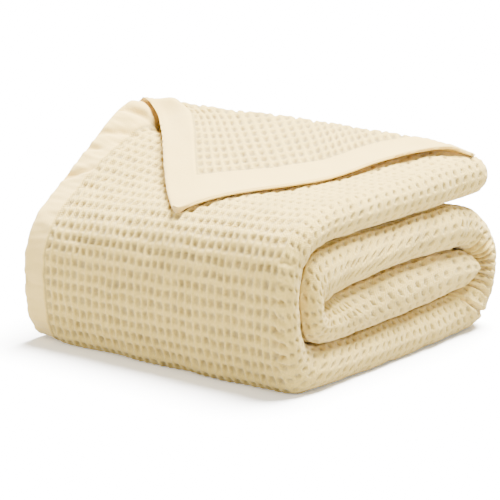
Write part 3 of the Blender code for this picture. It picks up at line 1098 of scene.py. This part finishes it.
@dataclass
class RolledLayers:
    """The folded layers under the outer cloth: a tube of cloth with its plies' edges at -X."""

    name: str
    strip: Strip
    waffle: Waffle
    handling: Handling
    along: tuple
    depth: float = 0.0          # how far under the outer level it lies, where a sheet covers it
    under_corner: float = 1e9   # length past which a second sheet lies over it, up to its fold
    detailed: bool = True       # whether its fold at +X is seen
    closes: bool = False        # whether its far end closes in
    nose: float = 0.0           # cloth over which its near end rounds off
    left: float = -146.0
    thickness: float = CLOTH
    plies: tuple = ((0.0, 0.235), (0.265, 0.485), (0.515, 0.735), (0.765, 1.0))

    def section(self, step: float) -> tuple:
        """The loop around the layers: x, share of thickness and place across the cloth.

        Args:
            step: spacing of the loop's points where no detail is seen.

        Returns:
            Three arrays, one value a column.
        """
        first = self.left + self.strip.half_width
        last = 2.0 * (2.0 * self.strip.half_width - self.strip.fold_depth) + self.strip.arc - first
        if self.detailed and step < 15.0:
            seen = self.waffle.lines(262.0, 364.0, self.waffle.across, self.waffle.across_phases)
        else:
            seen = np.linspace(280.0, 344.0, 13)
        plain = np.arange(first, seen[0] - 0.6 * step, step)
        behind = np.arange(last, seen[-1] + 0.6 * step, -step)[::-1]
        across = np.concatenate([plain, seen, behind])
        x, share = self.strip.outline(across)
        for low, high in self.plies:
            turn = np.array([0.1, 0.3, 0.5, 0.7, 0.9])
            edge = self.left - 3.6 * np.sin(math.pi * turn) ** 0.7
            x = np.concatenate([x, edge, [self.left + 4.0]])
            share = np.concatenate([share, low + (high - low) * turn, [min(high + 0.015, 0.99)]])
        x, share = x[:-1], share[:-1]
        extra = last + 4.0 * np.arange(1, len(x) - len(across) + 1)
        return x, share, np.concatenate([across, extra])

    def surface(self, rows: np.ndarray, section: tuple, sunk: float) -> tuple:
        """Points of the tube at rows along it.

        Args:
            rows: distances along the strip.
            section: the loop, as section() gives it.
            sunk: further depth under the tube's own level.

        Returns:
            Points, painted shade and hem shares and the cloth places.
        """
        x, share, across = section
        base = self.strip.points(rows, x, share)
        ring = np.concatenate([base[:, -1:], base, base[:, :1]], axis=1)
        normals = surface_normals(ring)[:, 1:-1]
        wide, far = np.meshgrid(across, rows)
        covered = 1.0 - smooth((wide - 374.0) / 12.0)
        over = smooth((far - self.under_corner) / 12.0) * (1.0 - smooth((wide - 288.0) / 10.0))
        height = -self.depth * covered - self.thickness * over - sunk
        painted_shade, hem = np.zeros_like(wide), np.zeros_like(wide)
        if self.detailed and sunk <= 0.0:
            seen = smooth((wide - 262.0) / 5.0) * smooth((368.0 - wide) / 5.0)
            relief, painted_shade, hem = self.waffle.relief(wide, far + FREE)
            height = height + seen * (relief + self.handling.lift(wide, far))
            painted_shade = painted_shade * seen
            side, end = self.handling.slide(wide, far)
            step = np.gradient(base, axis=1)
            run = np.gradient(base, axis=0)
            for way, much in ((step, side), (run, end)):
                way /= np.maximum(np.linalg.norm(way, axis=2, keepdims=True), 1e-9)
                base = base + way * (much * seen)[:, :, None]
        points = base + normals * height[:, :, None]
        points[:, :, 2] = np.maximum(points[:, :, 2], 0.3 + sunk)
        if self.nose > 0.0:
            near = np.clip((far - self.along[0]) / self.nose, 0.0, 1.0)[:, :, None]
            middle = self.strip.points(rows, x, 0.0 * share + 0.5)
            round_off = np.sqrt(near * (2.0 - near) + 0.01) / math.sqrt(1.01)
            points = middle + round_off * (points - middle)
        if self.closes:
            shut = smooth((far - far.max() + 7.0) / 7.0)[:, :, None]
            middle = self.strip.points(rows, np.clip(x, self.left + 2.0, 140.0), 0.0 * share + 0.5)
            points = points + 0.97 * shut * (middle - points)
        return points, painted_shade, hem, np.stack([wide, far + FREE], axis=2)

    def loop_grid(self, mesh: ClothMesh, made: tuple, fixed: np.ndarray,
                  inward: bool) -> np.ndarray:
        """Adds a tube to the mesh, closed around its loop.

        Args:
            mesh: the mesh.
            made: the tube, as surface() gives it.
            fixed: fixed normals, or zero where the mesh's own is used.
            inward: whether its faces look inwards.

        Returns:
            The point numbers, with the first column again at the end.
        """
        points, painted_shade, hem, cloth = made
        ids = mesh.grid(points, cloth, painted_shade, hem, fixed, inward)
        corners = [ids[:-1, -1], ids[:-1, 0], ids[1:, 0], ids[1:, -1]]
        if inward:
            corners = corners[::-1]
        mesh.faces += np.stack(corners, axis=1).tolist()
        return np.concatenate([ids, ids[:, :1]], axis=1)

    def build(self, material: bpy.types.Material) -> Piece:
        """Makes the closed tube of cloth.

        Args:
            material: its finish.

        Returns:
            The piece.
        """
        if self.detailed:
            rows = self.waffle.lines(*self.along, self.waffle.along, self.waffle.along_phases)
        else:
            rows = np.linspace(*self.along, int((self.along[1] - self.along[0]) / 7.0))
        past = [self.along[1] + MARGIN[0], self.along[1] + MARGIN[1]]
        rows = np.concatenate([[self.along[0]] * 2, rows, past])
        rows[:2] -= MARGIN[::-1]
        made = self.surface(rows, self.section(9.0), 0.0)
        normals = surface_normals(made[0])
        fixed = np.zeros_like(normals)
        if self.detailed:
            seen = (made[3][-3, :, 0] > 268.0) & (made[3][-3, :, 0] < 360.0)
            fixed[-3, seen] = normals[-3, seen]
        made = tuple(values[2:-2] for values in made)
        mesh = ClothMesh(self.name)
        outer = self.loop_grid(mesh, made, fixed[2:-2], False)
        rows = np.linspace(*self.along, int((self.along[1] - self.along[0]) / 9.0))
        sunk = self.thickness + (WALL_GAP if self.detailed else 0.0)
        made = self.surface(rows, self.section(22.0), sunk)
        inner = self.loop_grid(mesh, made, np.zeros_like(made[0]), True)
        mesh.bridge(outer[0, ::-1], inner[0, ::-1])
        mesh.bridge(outer[-1, :], inner[-1, :])
        shown = mesh.finish(material)
        around = np.linalg.norm(np.diff(made[0][len(rows) // 2], axis=0), axis=1).sum()
        return Piece(shown, float(around), self.along[1] - self.along[0])


@dataclass
class TurnedCorner:
    """The strip's outer cloth from the front shoulder up, curled over and turned back on itself.

    Its outer face is made as one grid and its reverse as another, on the same lines up the rise,
    around the curl and down the turned-back flap.
    """

    name: str
    strip: Strip
    waffle: Waffle
    handling: Handling
    start: float                # length along the strip where it begins
    width: float = 289.0
    thickness: float = CLOTH
    kept: float = 288.0         # cloth along the rise that keeps its row spacing
    shown_flap: float = 226.0   # cloth from the end edge that keeps its row spacing
    row_stretch: float = 1.16   # rows of the flap are this much longer
    tip: float = 14.0           # rounding of the flap's tip
    lifted_width: float = 34.0  # cloth by the side hem that lifts off the roll with it
    hem_level: float = 12.0     # cloth by the side hem that stands level with its edge
    trough: float = 13.0        # how far the rise falls back under the curl by the side hem
    tunnel: tuple = (4.0, 40.0)     # how far before the flap's edge it falls, over which length
    end_hem: tuple = (51.0, 30.0)   # end hem's width at the tip and at the fold's far end
    # How far the flap's side hem bows out of a straight line, at shares of its length
    bow: tuple = ((0.0, 0.06, 0.13, 0.32, 0.46, 0.6, 0.74, 0.86, 1.0),
                  (0.0, 8.0, 11.4, 9.2, 5.8, 2.8, 0.4, -1.0, 0.0))
    bow_way: tuple = (0.671, 0.742)
    stations: int = 300
    curl_stations: int = 36
    flap_stations: int = 160

    def ridges(self, x: np.ndarray) -> np.ndarray:
        """Values of the turned corner's table, softened along X.

        Args:
            x: places along X.

        Returns:
            The table's columns after the first, one row a place.
        """
        table = np.array(TURNED_CORNER)
        dense = np.arange(-149.0, 140.0)
        values = [np.interp(dense, table[:, 0], column) for column in table.T[1:]]
        soft = soften(np.column_stack(values), 6.0)
        return np.column_stack([np.interp(x, dense, column) for column in soft.T])

    def resampled(self, path: np.ndarray, count: int) -> np.ndarray:
        """A path as evenly spaced points.

        Args:
            path: its points, one a row.
            count: how many points to give.

        Returns:
            The points.
        """
        run = np.concatenate([[0.0], np.cumsum(np.linalg.norm(np.diff(path, axis=0), axis=1))])
        even = np.linspace(0.0, run[-1], count)
        return np.column_stack([np.interp(even, run, column) for column in path.T])

    def rising_lines(self, across: np.ndarray, shaped: bool) -> np.ndarray:
        """Lines of the outer face from the start to the foot of the curl, one a column.

        Args:
            across: the columns' places across the cloth.
            shaped: whether the cloth by the side hem stands up and falls back under the flap.

        Returns:
            Points, stations by columns by 3.
        """
        ridge = self.ridges(across - self.strip.half_width)
        lengths = np.arange(self.start - 3.0, self.strip.length[self.strip.marks["rounding"]] + 1.0)
        leaf = self.strip.leaf(lengths, across)
        lines = np.zeros((self.stations, len(across), 3))
        hollowed = self.trough * smooth((across - 18.0) / 14.0)
        hollowed = hollowed * (1.0 - smooth((across - 60.0) / 80.0))
        for j in range(len(across)):
            crest_y, top_z, radius, leave, swell = ridge[j]
            off = self.strip.length_at(leave)
            path = leaf[lengths < off - 0.5, j]
            gone = np.array([np.interp(off, lengths, leaf[:, j, k]) for k in range(3)])
            crest = np.array([crest_y, top_z - 2.0 * radius - 0.5 * self.thickness])
            rise = (crest - gone[1:]) / np.linalg.norm(crest - gone[1:])
            lift = np.array([-rise[1], rise[0]])
            foot = crest + 0.5 * self.thickness * lift
            share = np.linspace(0.0, 1.0, 200)[:, None]
            bulge = 4.0 * swell * share * (1.0 - share)
            if shaped:
                bulge = bulge - hollowed[j] * np.exp(-((share - 0.86) / 0.11) ** 2)
            up = gone[1:] + share * (foot - gone[1:]) + bulge * lift
            rising = np.column_stack([np.full(200, gone[0]), up])
            whole = self.resampled(np.vstack([path, rising]), self.stations)
            flat = self.resampled(leaf[lengths < lengths[-1] - 2.0, j], self.stations)
            stay = smooth((across[j] - 272.0) / 16.0)
            lines[:, j] = (1.0 - stay) * whole + stay * flat
        soft = soften(lines, 8.0)
        run = np.linspace(0.0, 1.0, self.stations)[:, None, None]
        stay = smooth((across[None, :, None] - 262.0) / 16.0)
        turn = smooth((run - 0.06) / 0.08) * (1.0 - stay)
        lines = lines + turn * (soft - lines)
        hem = self.resampled(curve_at(np.array(HEM_RISE), np.linspace(0.0, 12.0, 240)), 400)
        begin = np.argmin(np.linalg.norm(hem - lines[0, 0, 1:], axis=1))
        hem = self.resampled(np.vstack([lines[:1, 0, 1:], hem[begin + 6:]]), self.stations)
        lifted = smooth(run / 0.2) * (1.0 - smooth(across[None, :, None] / self.lifted_width))
        side = lines[:, 0, 1:].copy()
        lines[:, :, 1:] += lifted * (hem[:, None, :] - side[:, None, :])
        if shaped:
            flap = self.edge(np.linspace(0.0, self.width, 200))
            reach = np.interp(across - self.strip.half_width, flap[:, 0], flap[:, 1])
            uncovered = smooth((reach[None, :] - self.tunnel[0] - lines[:, :, 1]) / self.tunnel[1])
            level = 1.0 - smooth((across - self.hem_level) / (2.2 * self.lifted_width))
            level = level - 1.0 + smooth(across / self.lifted_width)
            standing = level[None, :, None] * uncovered[:, :, None] * smooth(run / 0.2)
            lines[:, :, 1:] += standing * (hem[:, None, :] - side[:, None, :])
        even = soften(lines[-1], 9.0)
        return lines + smooth((run - 0.5) / 0.5) * (even - lines[-1])

    def curl(self, lines: np.ndarray, across: np.ndarray) -> np.ndarray:
        """The half turn at the end of each line, around the ridge as its axis.

        Args:
            lines: the rising lines, as rising_lines() gives them.
            across: the lines' places across the cloth.

        Returns:
            Points, stations by columns by 3.
        """
        radius = np.maximum(self.ridges(across - self.strip.half_width)[:, 2]
                            - 0.5 * self.thickness, 1.1)[None, :, None]
        foot = lines[-1]
        axis = soften(np.gradient(foot, axis=0), 6.0)
        axis /= np.linalg.norm(axis, axis=1, keepdims=True)
        way = lines[-1] - lines[-4]
        way[:, 0] = 0.0
        way = soften(way, 4.0)
        way /= np.linalg.norm(way, axis=1, keepdims=True)
        share = np.sum(way * axis, axis=1, keepdims=True)
        ahead = way - share * axis
        size = np.linalg.norm(ahead, axis=1, keepdims=True)
        ahead /= size
        up = np.cross(axis, ahead)
        angle = np.linspace(0.0, math.pi, self.curl_stations + 1)[1:, None, None]
        slide = (share / size)[None] * angle
        return foot[None] + radius * (np.sin(angle) * ahead + (1.0 - np.cos(angle)) * up
                                      + slide * axis)

    def edge(self, across: np.ndarray) -> np.ndarray:
        """The flap's end edge seen from above.

        Args:
            across: distances across the cloth.

        Returns:
            Its places in X and Y, one row a distance.
        """
        points = soften(self.resampled(np.array(FLAP_EDGE), 290), 5.0)
        share = across / self.width
        even = np.linspace(0.0, 1.0, len(points))
        return np.column_stack([np.interp(share, even, column) for column in points.T])

    def ground(self, lines: np.ndarray, x: np.ndarray, y: np.ndarray) -> tuple:
        """Height of the rising cloth's outer face, and its slope.

        Args:
            lines: the rising lines.
            x: the places' X, seen from above.
            y: the places' Y.

        Returns:
            The heights and the slopes at the places.
        """
        grid = np.arange(-150.0, 150.0, 1.0)
        columns = lines[-1, :, 0]
        heights = np.zeros((len(grid), lines.shape[1]))
        for j in range(lines.shape[1]):
            run, rise = lines[:, j, 1], lines[:, j, 2]
            order = np.maximum.accumulate(run)
            keep = np.concatenate([[True], np.diff(order) > 1e-6])
            run, rise = run[keep], rise[keep]
            slope = (rise[-1] - rise[-8]) / (run[-1] - run[-8])
            heights[:, j] = np.interp(grid, run, rise)
            heights[:, j] += np.maximum(grid - run[-1], 0.0) * slope
        heights = soften(heights, 2.0)
        slopes = np.gradient(heights, axis=0)
        row = np.clip(y - grid[0], 0.0, len(grid) - 1.001)
        column = np.interp(x, columns, np.arange(len(columns)))
        i, j = row.astype(int), np.minimum(column.astype(int), len(columns) - 2)
        u, v = row - i, column - j

        def read(table: np.ndarray) -> np.ndarray:
            """Value between a table's four nearest places.

            Args:
                table: values on the grid.

            Returns:
                The values at the places.
            """
            return ((1 - u) * ((1 - v) * table[i, j] + v * table[i, j + 1])
                    + u * ((1 - v) * table[i + 1, j] + v * table[i + 1, j + 1]))

        return read(heights), read(slopes)

    def flap(self, lines: np.ndarray, curl: np.ndarray, across: np.ndarray) -> np.ndarray:
        """The flap's underside from the curl to its end edge.

        Args:
            lines: the rising lines that it lies on.
            curl: the curl, as curl() gives it.
            across: the columns' places across the cloth.

        Returns:
            Points, stations by columns by 3.
        """
        start, edge = curl[-1], self.edge(across)
        share = np.linspace(0.0, 1.0, self.flap_stations + 1)[1:, None]
        x = start[:, 0] + share * (edge[:, 0] - start[:, 0])
        y = start[:, 1] + share * (edge[:, 1] - start[:, 1])
        bow = np.interp(share, *self.bow)
        bow = soften(bow, 3.0) * (1.0 - smooth(across / 90.0))[None, :]
        x = x + self.bow_way[0] * bow
        y = y + self.bow_way[1] * bow
        height, slope = self.ground(lines, x, y)
        first, first_slope = self.ground(lines, start[:, 0], start[:, 1])
        drop = 1.0 - smooth(share / 0.9)
        loose = 3.2 * smooth((across - 130.0) / 60.0)[None, :]
        loose = loose + 11.0 * (1.0 - smooth(across / 70.0))[None, :] * smooth((0.99 - share) / 0.7)
        rest = (1.5 + loose) * np.sqrt(1.0 + np.minimum(slope, 1.2) ** 2)
        above = rest + drop * (start[:, 2] - first - rest)
        return np.stack([x, y, height + above], axis=2)

    def paths(self, across: np.ndarray) -> tuple:
        """Whole lines of the outer face from the start to the end edge.

        Args:
            across: the lines' places across the cloth.

        Returns:
            The points and the distances along each line.
        """
        lines = self.rising_lines(across, True)
        curl = self.curl(lines, across)
        flap = self.flap(self.rising_lines(across, False), curl, across)
        whole = np.concatenate([lines, curl, flap])
        foot = lines[-1, :, 2]
        close = 1.0 - 0.7 * smooth((across - self.width + 20.0) / 18.0)
        whole[self.stations:, :, 2] = foot + close * (whole[self.stations:, :, 2] - foot)
        steps = np.linalg.norm(np.diff(whole, axis=0), axis=2)
        run = np.concatenate([np.zeros((1, whole.shape[1])), np.cumsum(steps, axis=0)])
        return whole, run

    def at(self, whole: np.ndarray, run: np.ndarray, wanted: np.ndarray) -> np.ndarray:
        """Points of the lines at wanted distances along each.

        Args:
            whole: the lines' points.
            run: the distances along them.
            wanted: the wanted distances, rows by columns.

        Returns:
            Points, rows by columns by 3.
        """
        points = np.zeros((wanted.shape[0], whole.shape[1], 3))
        for j in range(whole.shape[1]):
            for k in range(3):
                points[:, j, k] = np.interp(wanted[:, j], run[:, j], whole[:, j, k])
        return points

    def rim(self, edge: np.ndarray) -> np.ndarray:
        """How far a face comes in near the cloth's edge, so that the edge is round."""
        near = np.clip(1.0 - edge / 1.8, 0.0, 1.0)
        return 0.5 * self.thickness * (1.0 - np.sqrt(1.0 - near ** 2))

    def rounded(self, points: np.ndarray, wide: np.ndarray, away: np.ndarray) -> np.ndarray:
        """Points of a face with the cloth's corner, where both edges meet, drawn in to a round one.

        Args:
            points: the face's points.
            wide: their distances from the side edge.
            away: their distances from the end edge.

        Returns:
            The moved points.
        """
        u = np.clip(1.0 - wide / self.tip, 0.0, 1.0)
        v = np.clip(1.0 - away / self.tip, 0.0, 1.0)
        across, along = np.gradient(points, axis=1), np.gradient(points, axis=0)
        for way, edge in ((across, wide), (along, away)):
            way /= np.maximum(np.linalg.norm(way, axis=2, keepdims=True), 1e-9)
            way *= np.sign(np.gradient(edge, axis=1 if way is across else 0))[:, :, None]
        inward = self.tip * u * (1.0 - np.sqrt(1.0 - 0.5 * v ** 2))
        upward = self.tip * v * (1.0 - np.sqrt(1.0 - 0.5 * u ** 2))
        return points + across * inward[:, :, None] + along * upward[:, :, None]

    def build(self, material: bpy.types.Material) -> Piece:
        """Makes the closed sheet: outer face, reverse face and the rims between them.

        Args:
            material: its finish.

        Returns:
            The piece.
        """
        across = self.waffle.lines(0.0, self.width, self.waffle.across, self.waffle.across_phases)
        outline = np.concatenate([across, [self.width + MARGIN[0], self.width + MARGIN[1]]])
        whole, run = self.paths(outline)
        total = run[-1]
        kept = min(self.kept, float(total.min()) - 8.0)
        # Outer face
        rows = self.waffle.lines(self.start, self.start + kept, self.waffle.along,
                                 self.waffle.along_phases)
        before = [self.start - MARGIN[1], self.start - MARGIN[0]]
        rows = np.concatenate([before, rows]) - self.start + 3.0
        tail = np.concatenate([np.linspace(0.0, 0.94, 15)[1:], [0.97, 0.985, 0.994, 0.998, 1.0]])
        stretched = rows[-1] + tail[:, None] * (total - rows[-1])[None, :]
        wanted = np.vstack([np.repeat(rows[:, None], len(outline), axis=1), stretched])
        base = self.at(whole, run, wanted)
        wide = np.repeat(outline[None, :], len(wanted), axis=0)
        far = self.start + wanted - 3.0
        kept_rows = len(rows)
        leaf = self.strip.leaf(far[:kept_rows, 0], outline)
        away = smooth((wanted[:kept_rows] - 12.0) / 30.0)
        beside = smooth((wide[:kept_rows] - 274.0) / 12.0)
        close = (1.0 - away + away * beside)[:, :, None]
        close *= smooth((total[None, :, None] - wanted[:kept_rows, :, None] - 14.0) / 10.0)
        base[:kept_rows] += close * (leaf - base[:kept_rows])
        normals = surface_normals(base)
        pressed = self.handling.pressed(wide, far)
        relief, painted_shade, hem = self.waffle.relief(wide, far + FREE, pressed)
        seen = 1.0 - smooth((wanted - rows[-1] + 12.0) / 10.0)
        left = total[None, :] - wanted
        in_flap = 1.0 - smooth((left - (total - self.curl_start(run))[None, :] - 2.0) / 8.0)
        relief = relief * seen * (1.0 - in_flap)
        lift = self.handling.lift(wide, far) * (1.0 - in_flap)
        padding = 0.7 * in_flap * smooth((np.minimum(wide, left) - 14.0) / 12.0)
        height = relief + lift + padding - self.rim(np.minimum(wide, left))
        side, end = self.handling.slide(wide, far)
        outer = self.rounded(base + normals * height[:, :, None], wide, left)
        for way, much in ((np.gradient(base, axis=1), side), (np.gradient(base, axis=0), end)):
            way /= np.maximum(np.linalg.norm(way, axis=2, keepdims=True), 1e-9)
            outer = outer + way * (much * seen * (1.0 - in_flap))[:, :, None]
        fixed = np.zeros_like(outer)
        ready = surface_normals(outer)
        fixed[2] = ready[2]
        before = wanted[:, -3] < kept - 30.0
        fixed[before, -3] = ready[before, -3]
        mesh = ClothMesh(self.name)
        cut = (slice(2, None), slice(0, -2))
        cloth = np.stack([wide, far + FREE], axis=2)
        top = mesh.grid(outer[cut], cloth[cut], painted_shade[cut] * seen[cut], hem[cut], fixed[cut])
        # Reverse face
        back = self.reverse(whole[:, :-2], run[:, :-2], across)
        bottom = mesh.grid(*back, np.zeros_like(back[0]))
        mesh.bridge(top[:, 0], bottom[::-1, 0])
        mesh.bridge(top[::-1, -1], bottom[:, -1])
        mesh.bridge(top[0, ::-1], bottom[-1, ::-1])
        mesh.bridge(top[-1, :], bottom[0, :])
        shown = mesh.finish(material)
        return Piece(shown, self.width, float(total.max()) - 3.0)

    def curl_start(self, run: np.ndarray) -> np.ndarray:
        """Distance along each line at which its curl begins."""
        return run[self.stations - 1]

    def reverse(self, whole: np.ndarray, run: np.ndarray, across: np.ndarray) -> tuple:
        """The cloth's reverse face, from the flap's end edge back to the start.

        Args:
            whole: the outer face's lines.
            run: distances along them.
            across: the lines' places across the cloth.

        Returns:
            Points, cloth places, painted shade and hem shares, rows from the end edge.
        """
        total = run[-1]
        lines = self.waffle.lines(0.0, self.shown_flap, self.waffle.along,
                                  self.waffle.along_phases)
        band = np.interp(across, (0.0, 60.0, 230.0, 289.0), (1.0, 1.0, 0.0, 0.0))
        band = self.end_hem[1] + band * (self.end_hem[0] - self.end_hem[1])
        cell = np.repeat(lines[:, None], len(across), axis=1)
        away = np.where(cell > self.waffle.hem,
                        band + (cell - self.waffle.hem) * self.row_stretch,
                        cell * band / self.waffle.hem)
        shown = away[-1]
        further = np.linspace(0.0, 1.0, 27)[1:, None] * (total - 3.0 - shown)[None, :]
        cell = np.vstack([cell, cell[-1:] + further / self.row_stretch])
        away = np.vstack([away, shown + further])
        wide = np.repeat(across[None, :], len(away), axis=0)
        base = self.at(whole, run, total[None, :] - away)
        normals = surface_normals(base)
        relief, painted_shade, hem = self.waffle.relief(wide, cell)
        seen = 1.0 - smooth((away - shown + 14.0) / 12.0)
        relief = relief * np.where(cell > 25.5, seen, 1.0)
        swell = 0.8 * ripple(wide, away, 60.0, 31) + 0.4 * ripple(wide, away, 26.0, 32)
        ease = smooth(np.minimum(wide, away) / 12.0)
        to_curl = total[None, :] - away - self.curl_start(run)[None, :]
        rise = 1.0 - smooth((to_curl + 22.0) / 20.0)
        body = self.thickness + 1.6 * rise * smooth((np.minimum(wide, away) - 20.0) / 50.0)
        body += WALL_GAP * smooth((away - shown - 10.0) / 20.0) * smooth((wide - 25.0) / 9.0)
        relief = relief * (0.4 + 0.6 * smooth((to_curl - 4.0) / 26.0))
        height = body + relief + 0.6 * swell * ease - self.rim(np.minimum(wide, away))
        points = self.rounded(base + normals * height[:, :, None], wide, away)
        return points, np.stack([wide, away], axis=2), painted_shade * seen, hem


# ---------------------------------------------------------------- studio


class Lamp(NamedTuple):
    """A soft round light that looks at the bundle."""

    name: str
    place: tuple        # in metres
    size: float
    power: float


@dataclass(frozen=True)
class Studio:
    """Pale floor, soft light and the camera at the photograph's viewing angle."""

    azimuth: float = 38.0
    elevation: float = 13.5
    lens: float = 151.2
    sensor: float = 36.0
    eye: tuple = (1106.6, -1442.2, 511.5)
    floor: float = 12.0
    white: float = 1.6          # how bright the paper looks in the picture
    paper: float = 0.35         # how much light it gives back to the cloth
    sun_way: tuple = (0.05, 0.36, 0.93)
    sun_strength: float = 33.0
    sun_softness: float = 0.6
    fills: tuple = (Lamp("fill", (-0.8, -1.7, 0.32), 1.0, 38.0),
                    Lamp("side_fill", (1.9, -0.5, 0.5), 1.0, 18.0))
    sky_strength: float = 0.47

    def camera(self) -> bpy.types.Object:
        """Places the camera.

        Returns:
            The camera.
        """
        a, e = math.radians(self.azimuth), math.radians(self.elevation)
        right = Vector((math.cos(a), math.sin(a), 0.0))
        back = Vector((math.sin(a) * math.cos(e), -math.cos(a) * math.cos(e), math.sin(e)))
        up = back.cross(right)
        data = bpy.data.cameras.new("view")
        data.lens, data.sensor_width = self.lens, self.sensor
        data.clip_start, data.clip_end = 0.05, 60.0
        eye = bpy.data.objects.new("view", data)
        turn = Matrix((right, up, back)).transposed().to_4x4()
        eye.matrix_world = Matrix.Translation(Vector(self.eye) * MM) @ turn
        bpy.context.collection.objects.link(eye)
        bpy.context.scene.camera = eye
        return eye

    def ground(self) -> bpy.types.Object:
        """Lays the pale floor.

        Returns:
            The floor.
        """
        bpy.ops.object.select_all(action="DESELECT")
        bpy.ops.mesh.primitive_plane_add(size=self.floor, location=(0.0, 0.0, -0.0002))
        ground = bpy.context.object
        ground.name = "floor"
        material = bpy.data.materials.new("pale_floor")
        material.use_nodes = True
        nodes, links = material.node_tree.nodes, material.node_tree.links
        shader = nodes["Principled BSDF"]
        shader.inputs["Roughness"].default_value = 1.0
        shader.inputs["Specular IOR Level"].default_value = 0.0
        rays = nodes.new("ShaderNodeLightPath")
        paper = nodes.new("ShaderNodeMix")
        paper.data_type = "RGBA"
        for socket, grey in ((6, self.paper), (7, self.white)):
            paper.inputs[socket].default_value = (grey, grey, grey, 1.0)
        links.new(rays.outputs["Is Camera Ray"], paper.inputs[0])
        links.new(paper.outputs[2], shader.inputs["Base Color"])
        ground.data.materials.append(material)
        return ground

    def sun(self) -> None:
        """Adds the main light, even over the whole floor."""
        data = bpy.data.lights.new("key", "SUN")
        data.energy, data.angle = self.sun_strength, self.sun_softness
        lamp = bpy.data.objects.new("key", data)
        turn = (-Vector(self.sun_way)).to_track_quat("-Z", "Y")
        lamp.matrix_world = turn.to_matrix().to_4x4()
        bpy.context.collection.objects.link(lamp)

    def light(self, lamp: Lamp) -> None:
        """Adds one soft light.

        Args:
            lamp: its name, place, size and power.
        """
        data = bpy.data.lights.new(lamp.name, "AREA")
        data.shape = "DISK"
        data.size, data.energy = lamp.size, lamp.power
        shown = bpy.data.objects.new(lamp.name, data)
        turn = (self.middle - Vector(lamp.place)).to_track_quat("-Z", "Y")
        shown.matrix_world = Matrix.Translation(lamp.place) @ turn.to_matrix().to_4x4()
        bpy.context.collection.objects.link(shown)

    @property
    def middle(self) -> Vector:
        """The bundle's middle, in metres."""
        return Vector((0.0, 0.0, 0.08))

    def sky(self) -> None:
        """Even pale light from all round."""
        world = bpy.data.worlds.new("studio")
        world.use_nodes = True
        ground = world.node_tree.nodes["Background"]
        ground.inputs["Color"].default_value = (1.0, 1.0, 1.0, 1.0)
        ground.inputs["Strength"].default_value = self.sky_strength
        bpy.context.scene.world = world

    def build(self) -> None:
        """Sets the whole studio."""
        self.camera()
        self.ground()
        self.sun()
        for lamp in self.fills:
            self.light(lamp)
        self.sky()


class Held(Enum):
    """Ways in which a sheet is held."""

    FOLDED = "folded"
    DRAPED = "draped"
    LAID = "laid"


def declare(piece: Piece) -> None:
    """Says what a piece rides on, the root body, and logs its number of faces.

    Args:
        piece: the made piece.
    """
    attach(piece.shown, "root")
    log.info("%s: %d faces", piece.shown.name, len(piece.shown.data.polygons))


def main() -> None:
    """Builds the studio and the blanket, piece by piece."""
    logging.basicConfig(level=logging.INFO, format="%(name)s %(message)s")
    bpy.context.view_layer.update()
    Studio().build()
    cotton = Cotton().material()
    strip = Strip()
    waffle = Waffle()
    handling = Handling(strip)
    nose = float(strip.length[0])
    notch = strip.start_of("back turn")
    base = strip.length_at(8.75)
    shoulder = strip.length_at(14.6)
    end = float(strip.length[-1])
    given = (strip, waffle, handling)
    makers = [
        LeafSheet("front_cloth", *given, (base, shoulder), (0.0, 372.0)),
        LeafSheet("back_and_base_cloth", *given, (notch, base), (0.0, 372.0)),
        LeafSheet("top_fold_cloth", *given, (shoulder, end), (289.0, 372.0)),
        TurnedCorner("turned_corner", *given, shoulder),
        LeafSheet("second_leaf", *given, (shoulder + 12.0, end), (0.0, 300.0), depth=5.6),
        RolledLayers("inner_turns", *given, (nose, notch), nose=10.0),
        RolledLayers("last_turn_layers", *given, (notch - 3.0, end - 0.5), depth=5.9,
                     under_corner=shoulder, detailed=False, closes=True, left=-145.0,
                     plies=((0.0, 0.235), (0.265, 0.485), (0.515, 0.735), (0.765, 0.97))),
    ]
    pieces = [maker.build(cotton) for maker in makers]
    for piece in pieces:
        declare(piece)
    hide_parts("waffle_blanket")


if __name__ == "__main__":
    main()
